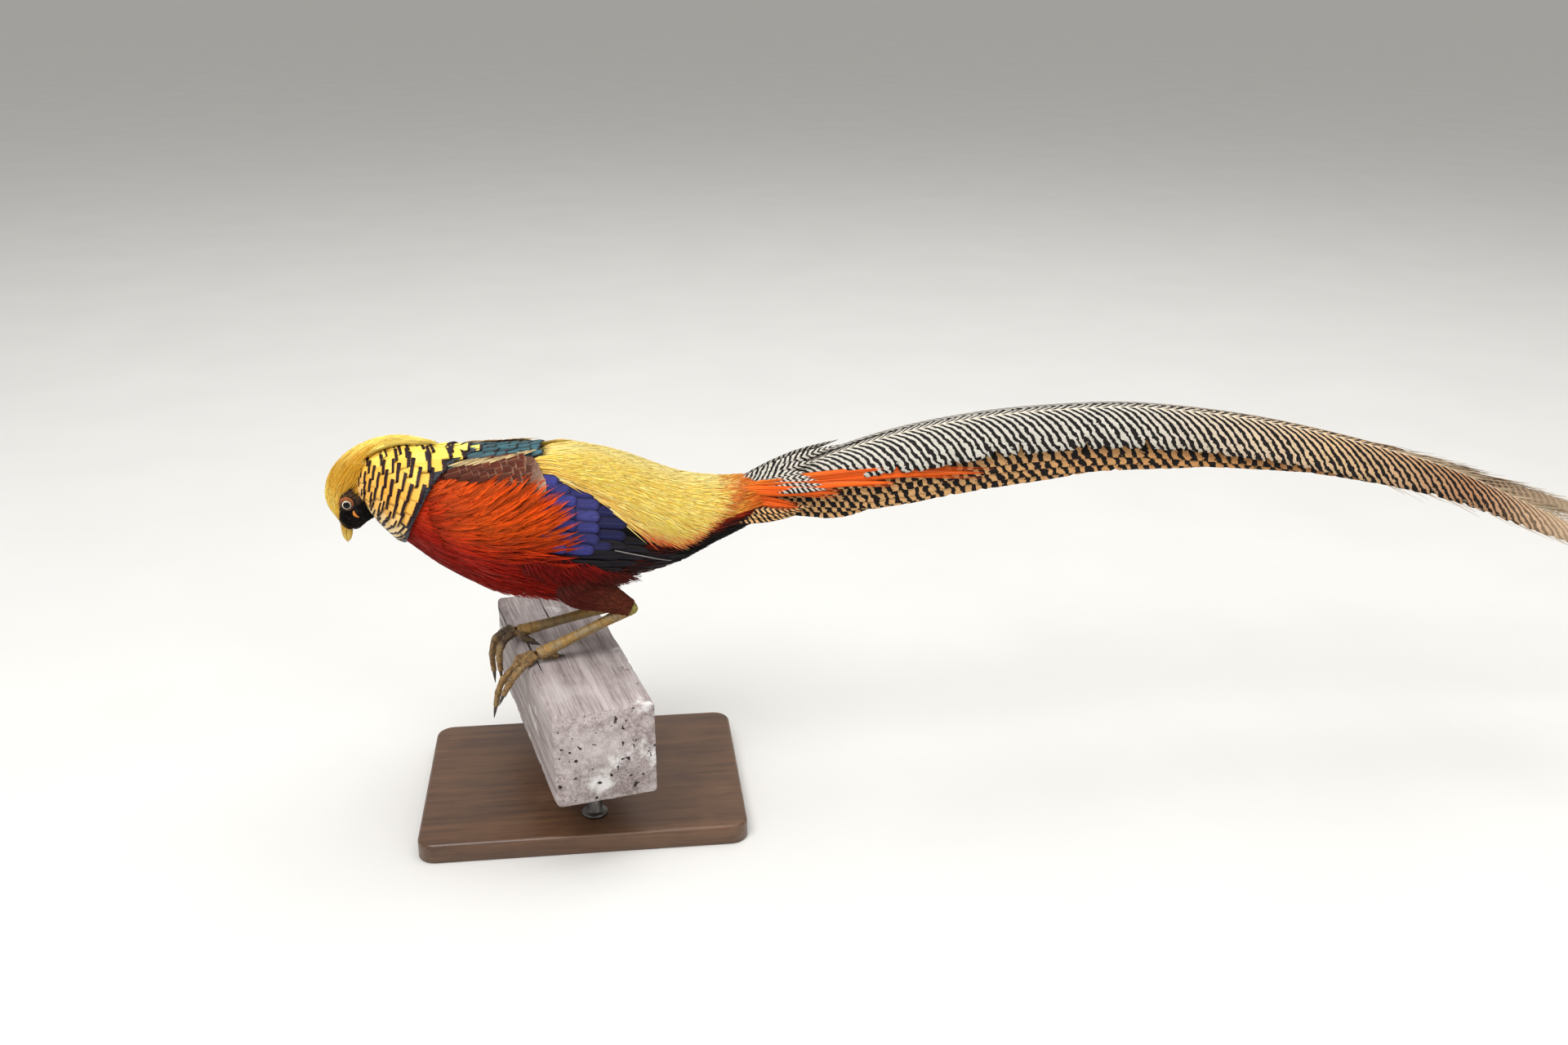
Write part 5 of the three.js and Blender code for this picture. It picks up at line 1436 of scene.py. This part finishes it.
def taper(t):
    """The narrowing of a long feather over its last half."""
    return np.sqrt(np.maximum(0.0004, 1 - (np.maximum(t - 0.5, 0) / 0.5) ** 2.3))


def vane_ways(side, degrees):
    """The way a vane slopes down and out, and the way out of its upper face."""
    cos, sin = np.cos(np.radians(degrees)), np.sin(np.radians(degrees))
    return np.array([0, side * cos, -sin]), np.array([0, side * sin, cos])


BAR_STEPS = np.arange(100, 920, 1.0)
BAR_PITCH = np.interp(BAR_STEPS, [140, 200, 330, 480, 640, 870], [4.2, 5.2, 6.4, 7.4, 7.8, 7.0])
BARS_SO_FAR = np.cumsum(1 / BAR_PITCH)


def tail_feather(solid, pair, side, tip, outer, inner, degrees, stops):
    """One long feather: the outer vane slopes down and out, the inner one reaches to the middle."""
    stations, across = max(60, int((tip - TAIL_ROOT) / 3.4)), 9
    patch = pair + (len(SIDE_TIPS) + 1 if side == RIGHT else 0)
    t = np.linspace(0, 1, stations)
    x = blend(TAIL_ROOT, tip, t)
    fill = blend(0.1, 1, np.clip((x - TAIL_ROOT) / 120, 0, 1) ** 0.7) * taper(t)
    droop, crown = vane_ways(side, degrees)
    c = np.concatenate([[-1], np.linspace(-0.001, 1, across - 1)])
    worn = 1.0 if pair == 0 else 0.3
    rough = 1 - worn * (0.1 * spread(0, 1, stations) ** 3 + 0.16 * (spread(0, 1, stations) < 0.04))
    width = np.where(c > 0, outer * c, inner * -c)[None] * fill[:, None]
    width *= np.where(np.abs(c) > 0.8, rough[:, None], 1)
    arch = outer * 0.06 * np.sin(np.pi * np.clip(c, 0, 1))[None] * fill[:, None]
    rib = 0.25 * np.exp(-((c * 12) ** 2))[None]
    way = np.where((c > 0)[:, None], droop, np.array([0, -side, 0.12]))
    top = shaft_at(x, pair, side)[:, None] + width[..., None] * way + (arch + 0.3 + rib)[..., None] * crown
    low = top - 0.5 * crown
    ring = np.concatenate([low[:, ::side], top[:, ::-side]], 1)
    share = np.concatenate([c[::side], c[::-side]])
    far = np.concatenate([width[:, ::side], width[:, ::-side]], 1)
    lead, early, within, count = (0.55, 9, 5, 1) if pair == 0 else (0.35, 2, 4, 0.74)
    sweep = lead * far + early * (1 - np.exp(-far / within))
    bars = np.interp(x[:, None] - sweep, BAR_STEPS, BARS_SO_FAR) * count + pair * 0.37
    place = stacked(bars, share, (1 - 0.8 * smooth(x, 720, 850))[:, None])
    tint = shades(x, *stops)[:, None] * (1 - 0.12 * np.abs(share))[None, :, None]
    uv = stacked(0.01 + patch * 0.07 + 0.03 * (1 + share), 0.02 + 0.96 * t[:, None])
    solid.add(ring[None], place[None], tint[None], uv[None])


def build_tail():
    middle, sides = Solid(), Solid()
    pale_stops = [(TAIL_ROOT, PEARL), (430, PEARL * 0.95), (600, paint(190, 160, 122)),
                  (720, paint(156, 112, 78)), (TAIL_TIP, paint(222, 200, 168))]
    for side in SIDES.values():
        tip = TAIL_TIP - (12 if side == LEFT else 0)
        tail_feather(middle, 0, side, tip, LONG_OUTER, LONG_INNER, LONG_SLOPE, pale_stops)
        for pair, end in enumerate(SIDE_TIPS, 1):
            near = BUFF * (1.0 if pair < 3 else 0.92)
            tan_stops = [(TAIL_ROOT, near), (300, near), (500, paint(200, 146, 92)),
                         (700, paint(150, 100, 62)), (800, paint(160, 112, 72))]
            tail_feather(sides, pair, side, end, 22, 5, 62, tan_stops)
        tail_wisps(middle, side, tip)
    piece("tail_middle_feathers", middle, "tail_middle", "plumage_tail", "tail")
    piece("tail_side_feathers", sides, "tail_side", "plumage_tail", "tail")


def tail_wisps(solid, side, tip):
    """Loose pale barbs at the worn ends of the two long feathers."""
    count = 170
    x = spread(640, tip - 22, count)
    edge = spread(0, 1, count) < 0.55
    t = (x - TAIL_ROOT) / (tip - TAIL_ROOT)
    off = np.where(edge, LONG_OUTER * taper(t) * spread(0.6, 1, count), 0)
    droop, _ = vane_ways(side, LONG_SLOPE)
    start = shaft_at(x, 0, side) + off[:, None] * droop
    length = np.minimum(spread(18, 40, count), tip - x - 1)
    s = np.linspace(0, 1, 5)[None, :, None]
    lean = unit(np.where(edge, 0.22, -0.12)[:, None] * droop + np.array([1.0, 0, -0.3]))
    bow = s**2 * spread(-2, 2, count, 1, 1) * np.array([0, 0, 1.0])
    line = start[:, None] + length[:, None, None] * s * lean[:, None] + bow
    out = np.broadcast_to(np.array([0, side * 0.81, 0.59]), line.shape)
    values = strip_values(s, count, STRAND, np.full(count, 0.1))
    half = spread(0.22, 0.4, count, 1) * np.array([0.8, 1, 0.8, 0.5, 0.1])
    tint = paint(222, 198, 164) * spread(0.7, 1.15, count, 1)
    root = np.stack([spread(0.9, 0.98, count), t], -1)
    solid.add(strips(line, out, half, STRAND), values, tint, bake_patch(values, root))


def covert(solid, side, way, half, stops, shape, stations=30, barred=False, tones=None):
    """A spear-shaped feather along the side of the tail, coloured from root to tip by stops.
    tones are the limits of a tone of its own."""
    t = np.linspace(0, 1, stations)
    widths = np.interp(t, np.linspace(0, 1, len(shape)), shape) * half
    line = along_path(np.array(way, float) * [1, side, 1])(t)[None]
    out = np.broadcast_to(unit(np.array([0, side * 0.9, 0.44])), line.shape)
    values = strip_values(t, 1, VANE)
    if barred:
        run = (line[0, -1] - line[0, 0])[0] * t / 4.3
        values[..., 0] = run[None, :, None] - np.abs(values[..., 1]) * 0.8
        values[..., 2] = 1.0
    tint = shades(t, *stops) * (spread(*tones) if tones else 1)
    root = np.array([[0.95, 0.3 + 0.002 * way[0][0]]])
    spear = strips(line, out, widths[None], VANE, 0.22, 0.12)
    solid.add(spear, values, tint[None, :, None], bake_patch(values, root))


def build_tail_coverts():
    orange, barred = Solid(), Solid()
    spear = [0.5, 0.75, 0.95, 1, 1, 0.92, 0.78, 0.55, 0.3, 0.05]
    fiery = (0, paint(252, 136, 40)), (0.4, paint(246, 98, 20)), (1, paint(244, 104, 24))
    pearly = (0, PEARL), (0.8, PEARL), (1, PEARL * 1.3)
    buff = (0, BUFF), (1, BUFF)
    for side in SIDES.values():
        for half, *way in PLUMES:
            covert(orange, side, way, half, fiery, spear, tones=(0.8, 1.1))
            for _ in range(12):
                drift = np.array([spread(-8, 8), spread(0, 0.8), spread(-0.8, 0.8) * half])
                beside = np.array(way, float) + drift * np.linspace(0.6, 1, len(way))[:, None]
                covert(orange, side, beside, 0.6, fiery, spear, 12, tones=(0.8, 1.1))
        tips = [(206, 6, 290), (188, 11, 279), (178, 16, 272), (182, 18, 269), (187, 19.5, 266.5),
                (191, 20.5, 263), (194, 21.5, 259.5)]
        for k, tip in enumerate(tips):
            root = np.array([132.0 + 2 * k, 3 + 1.8 * k, 264 - 0.8 * k])
            way = [root, blend(root, tip, 0.5) + [0, 1.6, 1.6], blend(root, tip, 0.8) + [0, 1, 1], tip]
            covert(barred, side, way, 4.3, pearly, [0.5, 0.8, 1, 1, 0.95, 0.75, 0.4, 0.06], barred=True)
        for x, z in ((120, 247), (112, 243.5), (106, 240)):
            way = [(x, 14.5, z), (x + 20, 16.5, z - 3), (x + 42, 17, z - 3.5), (x + 64, 17, z - 2)]
            covert(barred, side, way, 3.6, buff, [0.5, 0.8, 1, 1, 0.95, 0.8, 0.5, 0.1], barred=True)
        count = 1300
        x, angle, length = spread(102, 142, count), spread(0, 92, count), spread(10, 20, count)
        tint = shades(x + spread(-8, 8, count), (106, LEMON), (120, paint(252, 190, 70)),
                      (130, paint(248, 130, 34)), (150, paint(242, 96, 22))) * spread(0.8, 1.12, count, 1)
        orange.lay(trunk, (x, angle), (x + length, angle + spread(-3, 6, count)),
                   (0.5, spread(2.2, 4.2, count)),
                   spread(0.4, 0.8, count), HAIR_END, (tint, blend(tint, BRIGHT_FLAME, 0.5)), side, thick=0.3)
    piece("tail_orange_coverts", orange, "tail_orange", "plumage_tail", "tail")
    piece("tail_barred_coverts", barred, "tail_middle", "plumage_tail", "tail")


# Rail and stand

def wobble(points, size, seed):
    """Slow unevenness from -1 to 1, the same each time."""
    random = np.random.default_rng(seed)
    total = np.zeros(points.shape[:-1])
    for k in range(5):
        way = random.normal(size=3)
        total += np.sin(points @ way / size * (1 + k * 0.7) + random.uniform(0, 6.3)) / (1 + k * 0.6)
    return total / 2.6


def rounded(half_x, half_y, corner, steps):
    """A rectangle with round corners: for each outline point the middle of its corner, and the way out."""
    rows = []
    for sx, sy, start in ((1, 1, 0), (-1, 1, 90), (-1, -1, 180), (1, -1, 270)):
        for turn in np.radians(start + np.linspace(0, 90, steps)):
            rows.append([sx * (half_x - corner), sy * (half_y - corner), np.cos(turn), np.sin(turn)])
    return np.split(np.array(rows), 2, 1)


def build_rail():
    half_w, half_d, half_l = RAIL["width"] / 2, RAIL["depth"] / 2, RAIL["length"] / 2
    middle, out = rounded(half_w, half_d, RAIL["corner"], 7)
    outline = middle + RAIL["corner"] * out
    outline = np.append(outline, outline[:1], 0)
    gone = run_length(outline)
    around = np.linspace(0, gone[-1], 241)[:-1]
    across, up = (np.interp(around, gone, side) for side in outline.T)
    y = np.concatenate([[-half_l, 0.4 - half_l], np.linspace(1 - half_l, half_l - 1, 150),
                        [half_l - 0.4, half_l]])
    y = y[:, None]
    shrink = np.where(np.abs(y) > half_l - 0.2, 0.985, np.where(np.abs(y) > half_l - 0.7, 0.995, 1))
    local = stacked(across * shrink, -y, up * shrink)
    edge = np.exp(-(half_w - np.abs(local[..., 0])) / 3) * np.exp(-(half_d - np.abs(local[..., 2])) / 3)
    dent = np.clip(wobble(local * [1, 0.6, 1], 7.0, 5), 0, 1) * 2.6 * edge
    dent += 0.25 * (1 + wobble(local * [1, 0.25, 1], 6.0, 6))
    local -= unit(local * [1, 0, 1]) * dent[..., None]
    x, y, z = columns(local)
    cos, sin = np.cos(np.radians(RAIL["turn"])), np.sin(np.radians(RAIL["turn"]))
    spun = stacked(x * cos - y * sin, x * sin + y * cos, z) + [RAIL["x"], 0, RAIL["top"] - half_d]
    piece("rail_timber", Solid().add(spun[None]), "weathered_timber", "rail_timber", "perch")


def build_base():
    corner, bevel, thickness = BASE["corner"], BASE["bevel"], BASE["thickness"]
    middle, out = rounded(BASE["length"] / 2, BASE["width"] / 2, corner, 15)
    levels = [(1.2, 0), (0, 1.2)]
    for turn in np.linspace(0, np.pi / 2, 9):
        levels.append((bevel * (1 - np.cos(turn)), thickness - bevel * (1 - np.sin(turn))))
    rings = [np.column_stack([middle + out * (corner - inset), np.full(len(out), z)]) for inset, z in levels]
    slab = Solid().add(np.array([*rings, rings[-1] * [0.5, 0.5, 1]])[None])
    piece("base_timber", slab, "oiled_timber", "stand_timber", "stand_base")


def build_rods():
    """Two rods from base to rail, with a collar at each end."""
    low, high = BASE["thickness"], RAIL["top"] - RAIL["depth"]
    tall, thin, wide = high - low, ROD["radius"], ROD["collar"]
    levels = [
        (wide - 0.4, 0.3), (wide, 0.8), (wide, 2.4), (wide - 0.6, 3.2), (thin + 0.6, 3.6), (thin, 4.4),
        (thin, tall - 4.4), (thin + 0.6, tall - 3.6), (wide - 0.6, tall - 3.2), (wide, tall - 2.4),
        (wide, tall - 0.6), (wide - 0.2, tall - 0.3),
    ]
    for name, way in (("near", -1), ("far", 1)):
        spin, off = np.radians(-RAIL["turn"]), way * ROD["spacing"] / 2
        x, y = RAIL["x"] + np.sin(spin) * off, np.cos(spin) * off
        rings = [stacked(x + r * np.cos(turns(48)), y + r * np.sin(turns(48)), low + z) for r, z in levels]
        rod = Solid().add(np.array(rings)[None])
        piece(f"rod_{name}", rod, "blackened_steel", "stand_steel", f"stand_rod_{name}")


# Floor, light and camera

def build_stage():
    half = 60.0
    mesh = bpy.data.meshes.new("floor")
    mesh.from_pydata([(-half, -half, 0), (half, -half, 0), (half, half, 0), (-half, half, 0)], [],
                     [(0, 1, 2, 3)])
    mesh.materials.append(look["pale_floor"])
    floor = placed("floor", mesh)
    world = bpy.data.worlds.new("studio")
    bpy.context.scene.world = world
    world.use_nodes = True
    colour, strength = world.node_tree.nodes["Background"].inputs[:2]
    colour.default_value, strength.default_value = (1.0, 0.98, 0.95, 1), 0.5
    lit = Vector((0.15, 0, 0.22))
    lamps = [
        ("key", (-0.9, -1.5, 2.6), 1.6, 64), ("top", (0.6, 0.4, 2.8), 2.4, 50),
        ("fill", (1.8, -2.0, 1.2), 1.6, 15),
    ]
    for name, place, size, power in lamps:
        lamp = placed(name, bpy.data.lights.new(name, "AREA"))
        lamp.data.energy, lamp.data.size = power, size
        lamp.location = place
        lamp.rotation_euler = (lit - lamp.location).to_track_quat("-Z", "Y").to_euler()


def build_camera():
    camera = placed("camera", bpy.data.cameras.new("camera"))
    camera.data.lens, camera.data.sensor_width = 34.69, 36
    camera.data.clip_end = 200
    camera.location = (0.0295, -1.0927, 0.6367)
    camera.rotation_euler = (np.radians(90 - 20.454), 0, np.radians(-7))
    bpy.context.scene.camera = camera
    bpy.context.scene.view_settings.view_transform = "Standard"


for build in (build_skin, build_eyes, build_bill, build_legs, build_crest, build_nape, build_face, build_cape,
              build_mantle, build_shoulders, build_breast, build_fringe, build_wings, build_rump,
              build_under_tail, build_thighs, build_tail, build_tail_coverts, build_rail, build_base,
              build_rods, build_stage, build_camera):
    build()

bpy.context.view_layer.update()
